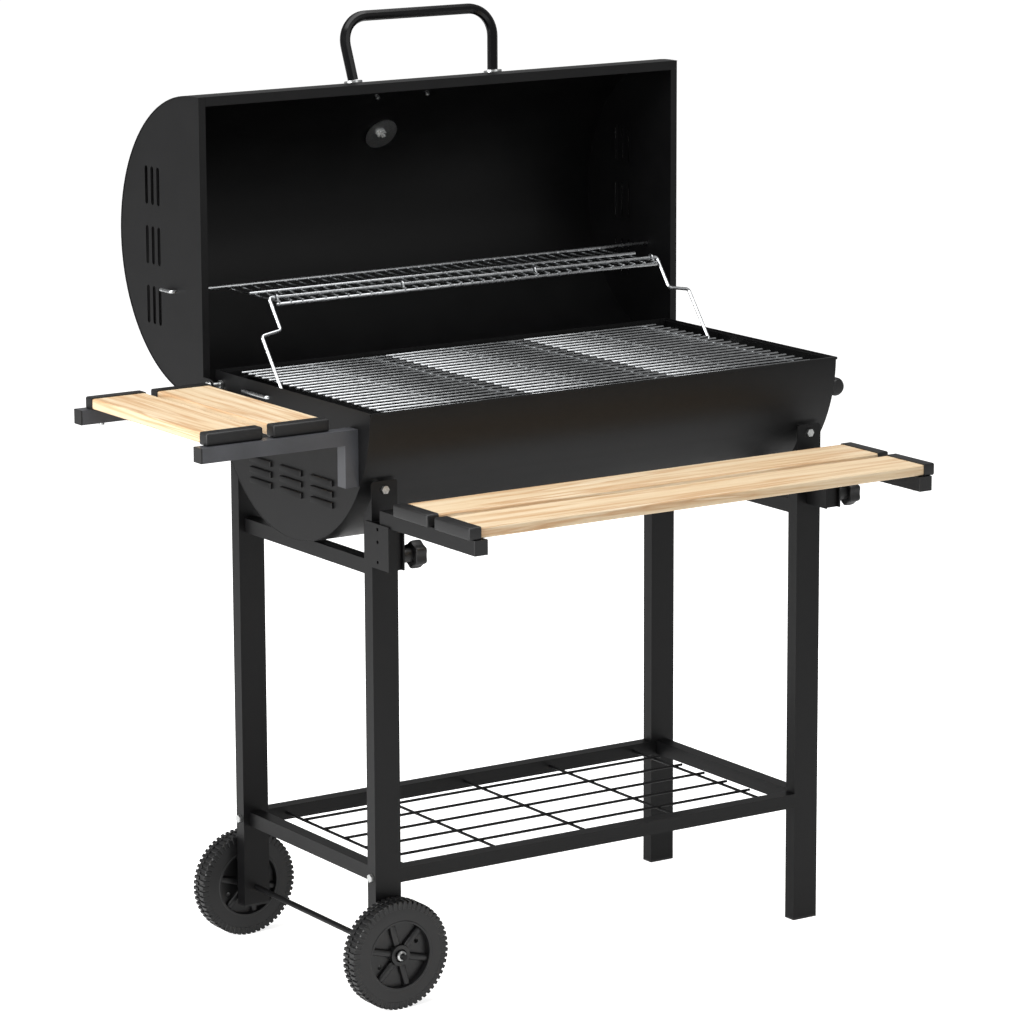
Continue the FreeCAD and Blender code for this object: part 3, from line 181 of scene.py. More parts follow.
chrome_wire = make_plated("chrome-plated wire", "#a6a8aa", "#c6c8c9", 0.22, 0.34, 5)
zinc_steel = make_plated("zinc-plated steel", "#b9bbbc", "#d6d7d5", 0.24, 0.38, 2)
# The charcoal grates are coloured near-black so that they stay as dark as the shade inside the firebox. This
# is painted shade; their real finish is not known.
grate_enamel = make_powder_coat("near-black rod, painted shade", "#0b0b0b", "#141414", 0.30, 0.42)


# %% [markdown]
# ## Oiled softwood
# The boards are planed pine or fir with a clear oil. Growth rings meet the face as long streaks, so the
# pattern is a noise stretched thirty times along the board; rings are 3 to 8 mm apart. A much finer
# noise gives the short open fibres that catch the light. The late wood of each ring is darker and oranger.

# %% Oiled wood, along X or along Y
def make_wood(name, along_x):
    made, tree, shader, place = new_material(name)
    stretch = [0.035, 1.0, 1.0] if along_x else [1.0, 0.035, 1.0]
    long_way = add(tree, "ShaderNodeMapping", {"Scale": stretch}, {"Vector": place})
    bend = add(tree, "ShaderNodeTexNoise", {"Scale": per_metre(220), "Detail": 2.0}, {"Vector": place})
    rings = add(tree, "ShaderNodeTexNoise", {"Scale": per_metre(16), "Detail": 3.0, "Roughness": 0.55,
                                             "Distortion": 0.6}, {"Vector": long_way.outputs["Vector"]})
    fibre = add(tree, "ShaderNodeTexNoise", {"Scale": per_metre(1.6), "Detail": 4.0, "Roughness": 0.7},
                {"Vector": long_way.outputs["Vector"]})
    streaks = ramp(tree, rings.outputs["Fac"], [(0.30, "#dccbb0"), (0.48, "#d4bf9f"), (0.56, "#bf9c76"),
                                                (0.62, "#d9c7aa"), (0.8, "#e2d3bc")])
    pores = ramp(tree, fibre.outputs["Fac"], [(0.35, "#e6d6bf"), (0.55, "#ffffff")])
    grain = add(tree, "ShaderNodeMix", {"data_type": "RGBA", "blend_type": "MULTIPLY"})
    grain.inputs["Factor"].default_value = 0.45
    tree.links.new(streaks, grain.inputs[6])
    tree.links.new(pores, grain.inputs[7])
    tone = ramp(tree, bend.outputs["Fac"], [(0.3, "#fbf5ec"), (0.7, "#ffffff")])
    wood = add(tree, "ShaderNodeMix", {"data_type": "RGBA", "blend_type": "MULTIPLY"})
    wood.inputs["Factor"].default_value = 0.8
    tree.links.new(grain.outputs[2], wood.inputs[6])
    tree.links.new(tone, wood.inputs[7])
    rough = add(tree, "ShaderNodeMapRange", {"To Min": 0.42, "To Max": 0.6}, {"Value": fibre.outputs["Fac"]})
    bump = add(tree, "ShaderNodeBump", {"Strength": 0.25, "Distance": 0.0003},
               {"Height": fibre.outputs["Fac"]})
    tree.links.new(wood.outputs[2], shader.inputs["Base Color"])
    tree.links.new(rough.outputs["Result"], shader.inputs["Roughness"])
    tree.links.new(bump.outputs["Normal"], shader.inputs["Normal"])
    return made


bench_wood = make_wood("oiled pine, bench boards", True)
table_wood = make_wood("oiled pine, table boards", False)


# %% [markdown]
# ## Moulded plastic
# Caps, knobs and grip are black polypropylene from a spark-eroded mould: a fine, even matt texture under
# half a millimetre. The wheels are the same plastic from a smoother mould, so they shine a little more.
# The texture is drawn at 0.6 mm so that it still shows.

# %% Black moulded plastics
def make_plastic(name, dark, light, rough_low, rough_high, strength):
    made, tree, shader, place = new_material(name)
    patches = add(tree, "ShaderNodeTexNoise", {"Scale": per_metre(25), "Detail": 3.0}, {"Vector": place})
    texture = add(tree, "ShaderNodeTexNoise", {"Scale": per_metre(0.6), "Detail": 2.0}, {"Vector": place})
    colour = ramp(tree, patches.outputs["Fac"], [(0.3, dark), (0.75, light)])
    rough = add(tree, "ShaderNodeMapRange", {"To Min": rough_low, "To Max": rough_high},
                {"Value": patches.outputs["Fac"]})
    bump = add(tree, "ShaderNodeBump", {"Strength": strength, "Distance": 0.0002},
               {"Height": texture.outputs["Fac"]})
    tree.links.new(colour, shader.inputs["Base Color"])
    tree.links.new(rough.outputs["Result"], shader.inputs["Roughness"])
    tree.links.new(bump.outputs["Normal"], shader.inputs["Normal"])
    return made


cap_plastic = make_plastic("black polypropylene, matt mould", "#0a0a0b", "#101011", 0.42, 0.55, 0.2)
wheel_plastic = make_plastic("black polypropylene, smooth mould", "#0b0b0c", "#121213", 0.32, 0.44, 0.1)
needle_red = make_plastic("red enamel pointer", "#8d120d", "#a01a12", 0.3, 0.4, 0.05)
dial_enamel = make_plastic("white dial enamel", "#e9e8e3", "#f3f2ee", 0.4, 0.5, 0.05)

# %% [markdown]
# ## Dial glass
# The thermometer's window is flat soda-lime glass, 1.5 mm thick. It is clear and very smooth; only
# a film of smoke, uneven over about 15 mm, gives it any texture, and that shows in its roughness.

# %% Dial glass
dial_glass, tree, shader, place = new_material("soda-lime window glass")
film = add(tree, "ShaderNodeTexNoise", {"Scale": per_metre(15), "Detail": 3.0}, {"Vector": place})
rough = add(tree, "ShaderNodeMapRange", {"To Min": 0.02, "To Max": 0.10}, {"Value": film.outputs["Fac"]})
tree.links.new(rough.outputs["Result"], shader.inputs["Roughness"])
shader.inputs["Base Color"].default_value = linear("#f4f7f7")
shader.inputs["Transmission Weight"].default_value = 1.0
shader.inputs["IOR"].default_value = 1.5

# %% [markdown]
# ## Dress the CAD nodes
# Each node that stays visible takes the finish its record slot names. The mesh is left alone: only its
# material changes.

# %% Materials for the CAD nodes
finishes = {"powder_coat": powder_coat, "silver_coat": silver_coat, "chrome_wire": chrome_wire,
            "grate_enamel": grate_enamel, "zinc_steel": zinc_steel, "oiled_wood": bench_wood,
            "black_plastic": cap_plastic, "wheel_plastic": wheel_plastic, "needle_red": needle_red,
            "dial_glass": dial_glass}
slot_of = {part["node"]: part["material_slot"] for part in frame["record"]["subparts"]}
for name, piece in nodes.items():
    finish = finishes.get(slot_of[name])
    if finish is None:
        continue
    for slot in piece.material_slots:
        slot.material = finish
for name in ("table_plank_outer", "table_plank_inner"):
    for slot in nodes[name].material_slots:
        slot.material = table_wood

# %% [markdown]
# ## Modelling by hand, in code
# Every new piece below starts as a primitive of about the right size and is then shaped in edit mode.
# An operator acts on whatever is selected, so these helpers clear the selection, pick faces, edges or
# points by where they are, and bake a finished piece's place into its mesh. Shapes that repeat are
# modelled once and copied, and each copy gets a mesh of its own.

# %% Selection helpers
def clear():
    """Nothing selected, object mode."""
    if bpy.context.object and bpy.context.object.mode != "OBJECT":
        bpy.ops.object.mode_set(mode="OBJECT")
    bpy.ops.object.select_all(action="DESELECT")


def pick(piece, what, test):
    """Edit mode with only the faces, edges or points chosen whose middle (and normal) pass a test."""
    if bpy.context.object and bpy.context.object.mode != "OBJECT":
        bpy.ops.object.mode_set(mode="OBJECT")
    mesh = piece.data
    bpy.context.tool_settings.mesh_select_mode = (what == "points", what == "edges", what == "faces")
    for group in (mesh.vertices, mesh.edges, mesh.polygons):
        group.foreach_set("select", [False] * len(group))
    if what == "faces":
        for face in mesh.polygons:
            face.select = test(face.center, face.normal)
    elif what == "edges":
        for edge in mesh.edges:
            ends = [mesh.vertices[number].co for number in edge.vertices]
            edge.select = test((ends[0] + ends[1]) / 2, ends[1] - ends[0])
    else:
        for point in mesh.vertices:
            point.select = test(point.co, point.normal)
    bpy.ops.object.mode_set(mode="EDIT")


def only(*pieces):
    """These objects selected, the first one active."""
    clear()
    for piece in pieces:
        piece.select_set(True)
    bpy.context.view_layer.objects.active = pieces[0]


# %% Finishing helpers
def settle(piece, angle=35):
    """Bakes the place into the mesh and smooths all but the sharp edges."""
    only(piece)
    bpy.ops.object.transform_apply(location=True, rotation=True, scale=True)
    bpy.ops.object.shade_smooth_by_angle(angle=math.radians(angle))
    return piece


def use(piece, kind, **settings):
    """Adds a modifier and applies it."""
    only(piece)
    modifier = piece.modifiers.new(kind.lower(), kind)
    for name, value in settings.items():
        setattr(modifier, name, value)
    bpy.ops.object.modifier_apply(modifier=modifier.name)
    return piece


def copy_to(model, matrix):
    """A copy with a mesh of its own, its place baked in."""
    made = model.copy()
    made.data = model.data.copy()
    bpy.context.collection.objects.link(made)
    made.data.transform(matrix)
    return made


def join(name, pieces):
    only(*pieces)
    if len(pieces) > 1:
        bpy.ops.object.join()
    pieces[0].name = pieces[0].data.name = name
    return pieces[0]


def drop(*pieces):
    for piece in pieces:
        bpy.data.objects.remove(piece)


def finish_piece(piece, material, body, slot_name, *stands_for):
    """Material, body and the CAD nodes a finished piece stands for; the record slot argument is not used."""
    piece.data.materials.clear()
    piece.data.materials.append(material)
    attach(piece, body)
    if stands_for:
        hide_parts(*stands_for)
    print(piece.name, len(piece.data.polygons), "faces")


# %% Primitives at their size and place
def block(middle, size_mm):
    """A box, its size baked in, at its place."""
    clear()
    bpy.ops.mesh.primitive_cube_add(size=1, location=middle)
    made = bpy.context.object
    made.scale = Vector(size_mm) * MM
    bpy.ops.object.transform_apply(location=True, rotation=True, scale=True)
    return made


TURNS = {"x": (0, math.pi / 2, 0), "y": (-math.pi / 2, 0, 0), "z": (0, 0, 0)}


def drum(middle, radius_mm, long_mm, axis="z", sides=32):
    """A round bar about an axis, its size baked in, at its place."""
    clear()
    bpy.ops.mesh.primitive_cylinder_add(vertices=sides, radius=radius_mm * MM, depth=long_mm * MM,
                                        location=middle, rotation=TURNS[axis])
    bpy.ops.object.transform_apply(location=True, rotation=True, scale=True)
    return bpy.context.object


def soften(piece, offset_mm, steps, test=lambda middle, way: True):
    """Bevels the edges that pass a test."""
    pick(piece, "edges", test)
    bpy.ops.mesh.bevel(offset=offset_mm * MM, segments=steps, affect="EDGES")
    bpy.ops.object.mode_set(mode="OBJECT")
    return piece


# %% [markdown]
# ## Wire
# Welded wire has straight runs with clipped ends and corners bent round a pin. A straight wire is a thin
# bar whose two end rims are bevelled. A bent one starts as a single point, is extruded along its path,
# gets its corners bevelled into arcs, and is then turned into a curve that gives it its thickness.

# %% Straight and bent wire
def straight_wire(start, end, radius_mm, sides=12):
    """A straight wire between two places; its ends are clipped and slightly rounded."""
    run = end - start
    made = drum(Vector(), radius_mm, run.length / MM, "z", sides)
    half = run.length / 2
    soften(made, radius_mm * 0.4, 2,
           lambda middle, way: abs(abs(middle.z) - half) < 1e-5 and abs(way.normalized().z) < 0.1)
    turn = run.to_track_quat("Z", "Y").to_matrix().to_4x4()
    made.data.transform(Matrix.Translation((start + end) / 2) @ turn)
    return made


def bent_wire(path, radius_mm, corner_mm, steps=6):
    """A wire along a path of places, its corners rounded over corner_mm on each side."""
    clear()
    bpy.ops.mesh.primitive_plane_add(size=0.001, location=path[0])
    bpy.ops.object.transform_apply(location=True, rotation=True, scale=True)
    made = bpy.context.object
    bpy.context.tool_settings.mesh_select_mode = (True, False, False)
    bpy.ops.object.mode_set(mode="EDIT")
    bpy.ops.mesh.select_all(action="SELECT")
    bpy.ops.mesh.merge(type="CENTER")
    for before, after in zip(path, path[1:]):
        bpy.ops.mesh.extrude_region_move(TRANSFORM_OT_translate={"value": after - before})
    ends = (path[0], path[-1])
    pick(made, "points", lambda place, normal: all((place - end).length > 1e-5 for end in ends))
    bpy.ops.mesh.bevel(offset=corner_mm * MM, segments=steps, affect="VERTICES")
    bpy.ops.object.mode_set(mode="OBJECT")
    only(made)
    bpy.ops.object.convert(target="CURVE")
    made = bpy.context.object
    made.data.bevel_depth = radius_mm * MM
    made.data.bevel_resolution = 3
    made.data.use_fill_caps = True
    bpy.ops.object.convert(target="MESH")
    return bpy.context.object


# %% [markdown]
# ## Cooking grates
# Each of the three grates is 21 straight rods welded on three thicker bars. One rod and one bar are
# modelled, and an Array modifier repeats them, which keeps the spacing exact.

# %% Cooking grates
ROD_PITCH, ROD_RADIUS, BAR_RADIUS = 18.5, 2.0, 2.5
for part_name in ("left", "middle", "right"):
    node = "cooking_grate_" + part_name
    corner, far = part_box(node)
    middle_y = (corner.y + far.y) / 2
    rod_y, rod_z = middle_y - 10 * ROD_PITCH * MM, far.z - ROD_RADIUS * MM
    rod = straight_wire(Vector((corner.x, rod_y, rod_z)), Vector((far.x, rod_y, rod_z)), ROD_RADIUS)
    use(rod, "ARRAY", count=21, use_relative_offset=False, use_constant_offset=True,
        constant_offset_displace=(0, ROD_PITCH * MM, 0))
    bar_x, bar_z = corner.x + 14 * MM, corner.z + BAR_RADIUS * MM
    bar = straight_wire(Vector((bar_x, corner.y, bar_z)), Vector((bar_x, far.y, bar_z)), BAR_RADIUS)
    use(bar, "ARRAY", count=3, use_relative_offset=False, use_constant_offset=True,
        constant_offset_displace=((far.x - corner.x) / 2 - 14 * MM, 0, 0))
    grate = settle(join("grate_%s_wires" % part_name, [rod, bar]))
    finish_piece(grate, chrome_wire, "grate_%s_body" % part_name, "chrome_wire", node)

# %% [markdown]
# ## Warming rack and bail
# The rack is three long wires over 35 thin cross wires. The rear long wire runs out through the lid's
# ends and turns back as a lever. Four hooks come up from the front wire and over the bail's bar. The
# bail is one bent wire with a step in each leg that brings its bar inside the lid's ends.

# %% Warming rack
LEVEL, CROSS, FRONT = 913.0, 909.3, 905.6
HOOK_TOP, HOOK_END = 918.1, 908.9
tails = [at(-407, 306, LEVEL), at(-407, 276, LEVEL), at(407, 276, LEVEL), at(407, 306, LEVEL)]
cross = straight_wire(at(-314.5, 136, CROSS), at(-314.5, 278, CROSS), 1.5, sides=10)
use(cross, "ARRAY", count=35, use_relative_offset=False, use_constant_offset=True,
    constant_offset_displace=(18.5 * MM, 0, 0))
rack_wires = [cross, bent_wire(tails, 2.5, 5.5),
              straight_wire(at(-325, 203, LEVEL), at(325, 203, LEVEL), 2.5),
              straight_wire(at(-319, 139, FRONT), at(319, 139, FRONT), 2.5)]
for hook_x in (-314.5, -111, 111, 314.5):
    hook = [at(hook_x, 139, FRONT), at(hook_x, 144.5, HOOK_TOP), at(hook_x, 153.5, HOOK_TOP),
            at(hook_x, 153.5, HOOK_END)]
    rack_wires.append(bent_wire(hook, 1.4, 4.0))
finish_piece(settle(join("rack_wires", rack_wires)), chrome_wire, "rack", "chrome_wire", "warming_rack")

# %% Bail
FOOT, BAR = Vector((0, 58, 794.6)), Vector((0, 149, 913.6))


def on_leg(x, share):
    """A place on the bail's leg, a share of the way from its foot to its bar."""
    spot = FOOT.lerp(BAR, share)
    return at(x, spot.y, spot.z)


half_bail = [at(-383.8, 123, 794.6), at(-383.8, 58, 794.6), on_leg(-357, 0), on_leg(-357, 0.62),
             on_leg(-325, 0.66), on_leg(-325, 1)]
other_half = [Vector((2 * STAND.x - place.x, place.y, place.z)) for place in reversed(half_bail)]
bail = bent_wire(half_bail + other_half, 2.5, 4.0)
finish_piece(settle(join("bail_wire", [bail])), chrome_wire, "bail", "chrome_wire", "rack_bail")

# %% [markdown]
# ## Shelf grid
# Five long wires lie across five short ones whose ends go into the rails. All are coated black.

# %% Shelf grid
short = straight_wire(at(-298, -170, 175.5), at(-298, 170, 175.5), 2.0)
use(short, "ARRAY", count=5, use_relative_offset=False, use_constant_offset=True,
    constant_offset_displace=(149 * MM, 0, 0))
long_wire = straight_wire(at(-306, -110, 179.2), at(306, -110, 179.2), 2.0)
use(long_wire, "ARRAY", count=5, use_relative_offset=False, use_constant_offset=True,
    constant_offset_displace=(0, 55 * MM, 0))
shelf_wires = settle(join("shelf_wires", [short, long_wire]))
finish_piece(shelf_wires, powder_coat, "stand", "powder_coat", "shelf_grid")

# %% [markdown]
# ## Lid handle
# The handle is one piece of tube bent up and over, glossy from handling. Its middle line leans back
# with the lid, at right angles to the sheet it is bolted to.

# %% Lid handle
LEAN = math.radians(10.8)
handle_low, handle_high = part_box("lid_handle")
out = Vector((0, math.sin(LEAN), math.cos(LEAN)))
crown = Vector((STAND.x, handle_high.y - 7.5 * MM, handle_high.z - 7.5 * MM))
root = crown - out * 89.05 * MM
sideways = Vector((MM, 0, 0))
handle = bent_wire([root - sideways * 117, crown - sideways * 128, crown + sideways * 128,
                    root + sideways * 117], 7.5, 42, steps=14)
finish_piece(settle(join("lid_handle_tube", [handle])), gloss_coat, "lid", "powder_coat", "lid_handle")

# %% [markdown]
# ## Wheels
# A wheel is one plastic moulding. It starts as a drum. Repeated insets on both end faces raise the rim's
# lip, sink the dish, and raise the hub. One rounded spoke and one tread lug are modelled and copied round
# the axle. The lugs stand in two rows, half a step apart, with a groove between, and wrap over the shoulder.

# %% Wheel body
WHEEL_HALF, TREAD_FLOOR = 13.0, 72.8
front_low, front_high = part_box("wheel_front")
hub = (front_low + front_high) / 2
body = drum(hub, TREAD_FLOOR, 2 * WHEEL_HALF, "y", 96)
pick(body, "faces", lambda middle, normal: abs(normal.y) > 0.9)
SIDEWALL, AXLE_SEAT = (24.3, 0), (1.6, -3.0)
LIP = ((1.2, 0.8), (2.2, 0))
DISH = ((0.8, -8.6), (29.5, 0))
HUB = ((0.6, 8.0), (5.0, 0))
for wide, raise_by in (SIDEWALL, *LIP, *DISH, *HUB, AXLE_SEAT):
    bpy.ops.mesh.inset(thickness=wide * MM, depth=raise_by * MM, use_even_offset=True)
bpy.ops.object.mode_set(mode="OBJECT")
soften(body, 3, 3, lambda middle, way: abs(abs(middle.y - hub.y) - WHEEL_HALF * MM) < 1e-5
       and math.hypot(middle.x - hub.x, middle.z - hub.z) > 0.070)
HOLE_RADIUS, HOLE_OUT, DRILL_LONG = 3.2, 32, 60
for turn in (math.radians(205), math.radians(25)):
    spot = hub + Vector((math.cos(turn), 0, math.sin(turn))) * HOLE_OUT * MM
    drill = drum(spot, HOLE_RADIUS, DRILL_LONG, "y", 20)
    use(body, "BOOLEAN", operation="DIFFERENCE", object=drill, solver="EXACT")
    drop(drill)

# %% Spokes and tread
spoke = soften(block(hub + Vector((29.5 * MM, 0, 0)), (33, 23, 9.5)), 3.4, 3)
LUG_COUNT, SPOKE_COUNT, SPOKE_START = 58, 6, 15
lug = block(hub + Vector((69.4 * MM, 7.4 * MM, 0)), (10.8, 12.0, 5.9))
pick(lug, "faces", lambda middle, normal: normal.x > 0.9)
bpy.ops.transform.resize(value=(1, 1, 0.82))
bpy.ops.object.mode_set(mode="OBJECT")
soften(lug, 0.6, 1)


def round_axle(turn, flip=False):
    """A turn about the wheel's axle, after an optional half turn about its upright."""
    spin = Matrix.Rotation(turn, 4, "Y")
    if flip:
        spin = spin @ Matrix.Rotation(math.pi, 4, "X")
    return Matrix.Translation(hub) @ spin @ Matrix.Translation(-hub)


parts = [body]
for number in range(SPOKE_COUNT):
    parts.append(copy_to(spoke, round_axle(math.radians(60 * number + SPOKE_START))))
for number in range(LUG_COUNT):
    step = 2 * math.pi / LUG_COUNT
    parts.append(copy_to(lug, round_axle(number * step)))
    parts.append(copy_to(lug, round_axle((number + 0.5) * step, flip=True)))
drop(spoke, lug)
wheel = settle(join("wheel_front_moulding", parts), 30)
back_low, back_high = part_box("wheel_back")
second = copy_to(wheel, Matrix.Translation((back_low + back_high) / 2 - hub))
second.name = second.data.name = "wheel_back_moulding"
finish_piece(wheel, wheel_plastic, "wheel_front_body", "wheel_plastic", "wheel_front")
finish_piece(second, wheel_plastic, "wheel_back_body", "wheel_plastic", "wheel_back")

# %% [markdown]
# ## Push nuts
# A push nut is a small domed ring of spring steel pressed over the end of the axle. Its rim is a drum of
# sixteen sides; insets on the outer face draw it up to a dome round the axle's rounded tip.

# %% Push nuts
nut_low, nut_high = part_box("axle_nuts")
nut = drum(Vector(), 6.8, 2.4, "z", 16)
pick(nut, "faces", lambda middle, normal: normal.z > 0.9)
for wide, raise_by in ((0.8, 0.5), (1.4, 1.2), (0.5, -1.0), (0.6, 2.6), (1.2, 0.5)):
    bpy.ops.mesh.inset(thickness=wide * MM, depth=raise_by * MM)
bpy.ops.object.mode_set(mode="OBJECT")
nuts = []
for face_y, turn in ((-216.6, math.pi / 2), (216.6, -math.pi / 2)):
    nuts.append(copy_to(nut, Matrix.Translation(at(-349, face_y, 75)) @ Matrix.Rotation(turn, 4, "X")))
drop(nut)
finish_piece(settle(join("push_nuts", nuts), 20), zinc_steel, "stand", "zinc_steel", "axle_nuts")

# %% [markdown]
# ## End caps
# Each board ends in a moulded cap: a shallow box, open towards the board, with all its outer edges
# rounded. It starts as a block without its mouth face; Solidify then gives it a wall inwards.

# %% End caps
CAP_WIDE, CAP_LONG, CAP_THICK, CAP_WALL = 84.0, 18.0, 17.0, 1.5
cap = block(Vector((0, CAP_LONG / 2 * MM, 0)), (CAP_WIDE, CAP_LONG, CAP_THICK))
pick(cap, "faces", lambda middle, normal: normal.y > 0.9)
bpy.ops.mesh.delete(type="ONLY_FACE")
bpy.ops.object.mode_set(mode="OBJECT")
soften(cap, 2.6, 4, lambda middle, way: middle.y < (CAP_LONG - 0.5) * MM)
use(cap, "SOLIDIFY", thickness=CAP_WALL * MM, offset=-1)


def caps_for(node, along):
    """The two caps of one board, whose length runs along x or y."""
    corner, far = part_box(node)
    middle = (corner + far) / 2
    half_long = (far[along] - corner[along]) / 2 + 1.55 * MM
    made = []
    for turn in (0, math.pi):
        spin = Matrix.Rotation(turn - (math.pi / 2 if along == 0 else 0), 4, "Z")
        made.append(copy_to(cap, Matrix.Translation(middle) @ spin @ Matrix.Translation((0, -half_long, 0))))
    return made


table_caps = join("table_caps", caps_for("table_plank_outer", 1) + caps_for("table_plank_inner", 1))
bench_caps = join("bench_caps", caps_for("bench_plank_front", 0) + caps_for("bench_plank_back", 0))
drop(cap)
finish_piece(settle(table_caps), cap_plastic, "stand", "black_plastic", "table_plank_caps")
finish_piece(settle(bench_caps), cap_plastic, "bench", "black_plastic", "bench_plank_caps")

# %% [markdown]
# ## Star knobs
# A star knob is a six-lobed head on a short hub. A drum of twelve sides has every second upright edge
# drawn in, and a Subdivision Surface modifier turns the zigzag into soft lobes.

# %% Star knobs
HEAD_RADIUS, HEAD_THICK, HEAD_MIDDLE, VALLEY = 22.5, 17, 26.1, 0.66
head = drum(Vector((0, 0, HEAD_MIDDLE * MM)), HEAD_RADIUS, HEAD_THICK, "z", 12)
pick(head, "points", lambda place, normal: round(math.degrees(math.atan2(place.y, place.x)) / 30) % 2 == 1)
bpy.ops.transform.resize(value=(VALLEY, VALLEY, 1))
pick(head, "faces", lambda middle, normal: abs(normal.z) > 0.9)
bpy.ops.mesh.inset(thickness=2.2 * MM, depth=0)
bpy.ops.mesh.inset(thickness=4 * MM, depth=-0.8 * MM)
bpy.ops.object.mode_set(mode="OBJECT")
use(head, "SUBSURF", levels=3, render_levels=3)
neck = soften(drum(Vector((0, 0, 10.3 * MM)), 9.5, 17.4, "z", 32), 1.2, 2,
              lambda middle, way: abs(way.normalized().z) < 0.1)
shank = drum(Vector((0, 0, 0.8 * MM)), 4.0, 6.4, "z", 20)
knob = settle(join("star_knob_model", [head, neck, shank]))
for side_name, face_x in (("left", -346), ("right", 371)):
    place = Matrix.Translation(at(face_x, -214, 620)) @ Matrix.Rotation(math.pi / 2, 4, "Y")
    made = copy_to(knob, place)
    made.name = made.data.name = "knob_%s_moulding" % side_name
    finish_piece(made, cap_plastic, "knob_" + side_name, "black_plastic", "star_knob_" + side_name)
drop(knob)

# %% [markdown]
# ## Carry grip
# The grip on the right end is a plastic sleeve with rounded ribs for the fingers. One rib is a short drum
# with bevelled rims, and an Array modifier lays 25 of them along a plain core.

# %% Carry grip
GRIP_X, GRIP_Z, RIB_PITCH = 423, 757, 12.2
rib = soften(drum(at(GRIP_X, -12 * RIB_PITCH, GRIP_Z), 13, 10.6, "y", 32), 2.8, 3,
             lambda middle, way: abs(way.normalized().y) < 0.1)
use(rib, "ARRAY", count=25, use_relative_offset=False, use_constant_offset=True,
    constant_offset_displace=(0, RIB_PITCH * MM, 0))
core = soften(drum(at(GRIP_X, 0, GRIP_Z), 11.4, 309, "y", 32), 3, 3,
              lambda middle, way: abs(way.normalized().y) < 0.1)
grip = settle(join("carry_grip", [core, rib]))
finish_piece(grip, cap_plastic, "stand", "black_plastic", "carry_handle_grip")

# %% [markdown]
# ## Louvres
# The vents are lanced: each slot's strip of steel is pushed out into a hood, open along one long edge.
# A hood is a bevelled block without its back and without one long side. In the lid both ends are the
# same pressing, so its hoods point out on the right and in on the left.

# %% Louvre hoods
def hood_model(long_mm, wide_mm, deep_mm):
    """A hood that stands out along +x from x = 0, long in y, and is open below."""
    made = block(Vector((deep_mm / 2 * MM, 0, 0)), (deep_mm, long_mm, wide_mm))
    pick(made, "faces", lambda middle, normal: normal.x < -0.9 or normal.z < -0.9)
    bpy.ops.mesh.delete(type="ONLY_FACE")
    bpy.ops.object.mode_set(mode="OBJECT")
    outline = 0.02 * MM
    mouth = -wide_mm / 2 * MM
    soften(made, deep_mm * 0.45, 3,
           lambda middle, way: middle.x > outline and middle.z > mouth + outline)
    return use(made, "SOLIDIFY", thickness=1.0 * MM, offset=-1)


lid_hood = hood_model(60, 12, 3.6)
lid_hoods = {"left": [], "right": []}
UPRIGHT = Matrix.Rotation(math.pi / 2, 4, "X")
for side_name, face_x in (("left", -396.2), ("right", 398.2)):
    for slot_z in (1054, 970, 886):
        for slot_y in (322, 338.5, 355):
            slot_place = Matrix.Translation(at(face_x, slot_y, slot_z)) @ UPRIGHT
            lid_hoods[side_name].append(copy_to(lid_hood, slot_place))
    louvres = settle(join("lid_louvres_" + side_name, lid_hoods[side_name]))
    finish_piece(louvres, powder_coat, "lid", "powder_coat")
box_hood = hood_model(56, 8, 3.2)
for side_name, face_x, turn in (("left", -380.8, math.pi), ("right", 380.8, 0)):
    hoods = [copy_to(box_hood, Matrix.Translation(at(face_x, 80 * column, 704 - 15 * line))
                     @ Matrix.Rotation(turn, 4, "Z")) for column in (-1, 0, 1) for line in (0, 1, 2)]
    finish_piece(settle(join("firebox_louvres_" + side_name, hoods)), powder_coat, "stand", "powder_coat")
drop(lid_hood, box_hood)

# %% [markdown]
# ## Thermometer dial
# Under the glass is a white enamelled disc with black marks, a long one at every fifth. It is built flat
# and then leaned to face out of the lid, in front of the case's floor and behind the needle.

# %% Thermometer dial
lens_low, lens_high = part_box("thermometer_lens")
FACE_ANGLE = math.radians(57)
face_out = Vector((0, math.sin(FACE_ANGLE), math.cos(FACE_ANGLE)))
facing = face_out.to_track_quat("Z", "X").to_matrix().to_4x4()
dial_place = Matrix.Translation((lens_low + lens_high) / 2 - face_out * 7.1 * MM) @ facing
disc = soften(drum(Vector(), 28.4, 0.7, "z", 64), 0.25, 2, lambda middle, way: abs(way.normalized().z) < 0.1)
disc.data.transform(dial_place)
finish_piece(settle(join("thermometer_dial", [disc])), dial_enamel, "lid", "dial_glass")
marks = []
for number in range(28):
    long_mark = number % 5 == 0
    mark = soften(block(Vector((0, (25.4 - (2.6 if long_mark else 1.6)) * MM, 0.42 * MM)),
                        (1.2 if long_mark else 0.7, 5.2 if long_mark else 3.2, 0.2)), 0.05, 1)
    marks.append(copy_to(mark, dial_place @ Matrix.Rotation(math.radians(135 - 10 * number), 4, "Z")))
    drop(mark)
finish_piece(settle(join("thermometer_marks", marks)), cap_plastic, "lid", "black_plastic")

# %% [markdown]
# ## Camera, light and floor
# The viewpoint is that of someone a few steps to the left of the grill's middle. The light is a studio's:
# a large soft panel on the left, a weaker one overhead and a faint fill in front. The wall and the floor
# look white to the camera but are dimmer to the object, which keeps its black paint black.

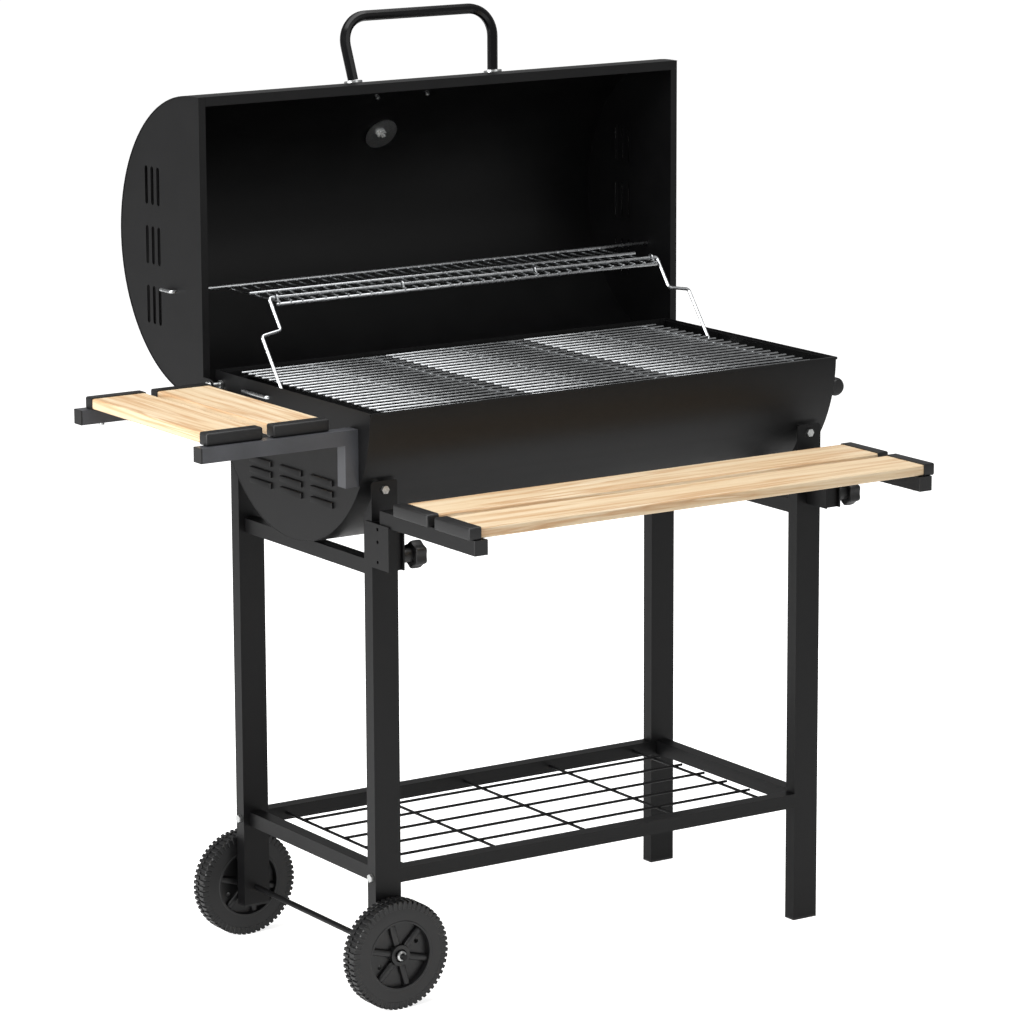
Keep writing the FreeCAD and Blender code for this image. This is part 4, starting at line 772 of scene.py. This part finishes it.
# %% Camera
CAMERA_PLACE = at(-3322.6, -4980.3, 1857.4)
YAW, PITCH, ROLL = math.radians(-31.82), math.radians(-11.28), math.radians(-0.57)
camera_data = bpy.data.cameras.new("camera")
camera_data.sensor_width = 36.0
camera_data.lens = 154.26
camera_data.shift_x = 0.1236
camera_data.shift_y = -0.0416
camera = bpy.data.objects.new("camera", camera_data)
turn = Matrix.Rotation(YAW, 4, "Z") @ Matrix.Rotation(math.pi / 2 + PITCH, 4, "X")
camera.matrix_world = Matrix.Translation(CAMERA_PLACE) @ turn @ Matrix.Rotation(ROLL, 4, "Z")
bpy.context.collection.objects.link(camera)
bpy.context.scene.camera = camera


# %% Studio lights and floor
def panel(name, place, target, wide, high, watts):
    """A soft rectangular light that faces a point."""
    light = bpy.data.lights.new(name, "AREA")
    light.shape = "RECTANGLE"
    light.size, light.size_y, light.energy = wide, high, watts
    lamp = bpy.data.objects.new(name, light)
    lamp.location = place
    lamp.rotation_euler = (Vector(target) - Vector(place)).to_track_quat("-Z", "Y").to_euler()
    bpy.context.collection.objects.link(lamp)


panel("left panel", (-3.6, -0.4, 1.7), (0, 0, 0.8), 2.4, 2.8, 170)
panel("top panel", (-0.2, -0.2, 3.6), (0, 0, 0.6), 3.2, 3.2, 120)
panel("front fill", (1.2, -4.6, 2.6), (0, 0, 0.6), 2.5, 2.0, 25)

world = bpy.data.worlds.new("studio")
bpy.context.scene.world = world
world.use_nodes = True
world.node_tree.nodes["Background"].inputs["Color"].default_value = (1, 1, 1, 1)
STUDIO_GLOW, WHITE_WALL = 0.30, 1.0
FLOOR_GLOW, FLOOR_SEEN = 0.10, 0.75
seen = world.node_tree.nodes.new("ShaderNodeLightPath").outputs["Is Camera Ray"]
glow = add(world.node_tree, "ShaderNodeMapRange", {"To Min": STUDIO_GLOW, "To Max": WHITE_WALL},
           {"Value": seen})
world.node_tree.links.new(glow.outputs["Result"], world.node_tree.nodes["Background"].inputs["Strength"])

bpy.ops.object.select_all(action="DESELECT")
bpy.ops.mesh.primitive_plane_add(size=80, location=(0, 0, 0))
floor = bpy.context.object
floor.name = "floor"
paper, tree, shader, place = new_material("white paper sweep")
fine = add(tree, "ShaderNodeTexNoise", {"Scale": per_metre(300)}, {"Vector": place})
white = ramp(tree, fine.outputs["Fac"], [(0.0, "#f4f4f3"), (1.0, "#fafafa")])
tree.links.new(white, shader.inputs["Base Color"])
shader.inputs["Roughness"].default_value = 0.85
shader.inputs["Emission Color"].default_value = (1, 1, 1, 1)
seen = tree.nodes.new("ShaderNodeLightPath").outputs["Is Camera Ray"]
glow = add(tree, "ShaderNodeMapRange", {"To Min": FLOOR_GLOW, "To Max": FLOOR_SEEN}, {"Value": seen})
tree.links.new(glow.outputs["Result"], shader.inputs["Emission Strength"])
floor.data.materials.append(paper)
bpy.context.scene.view_settings.view_transform = "Standard"
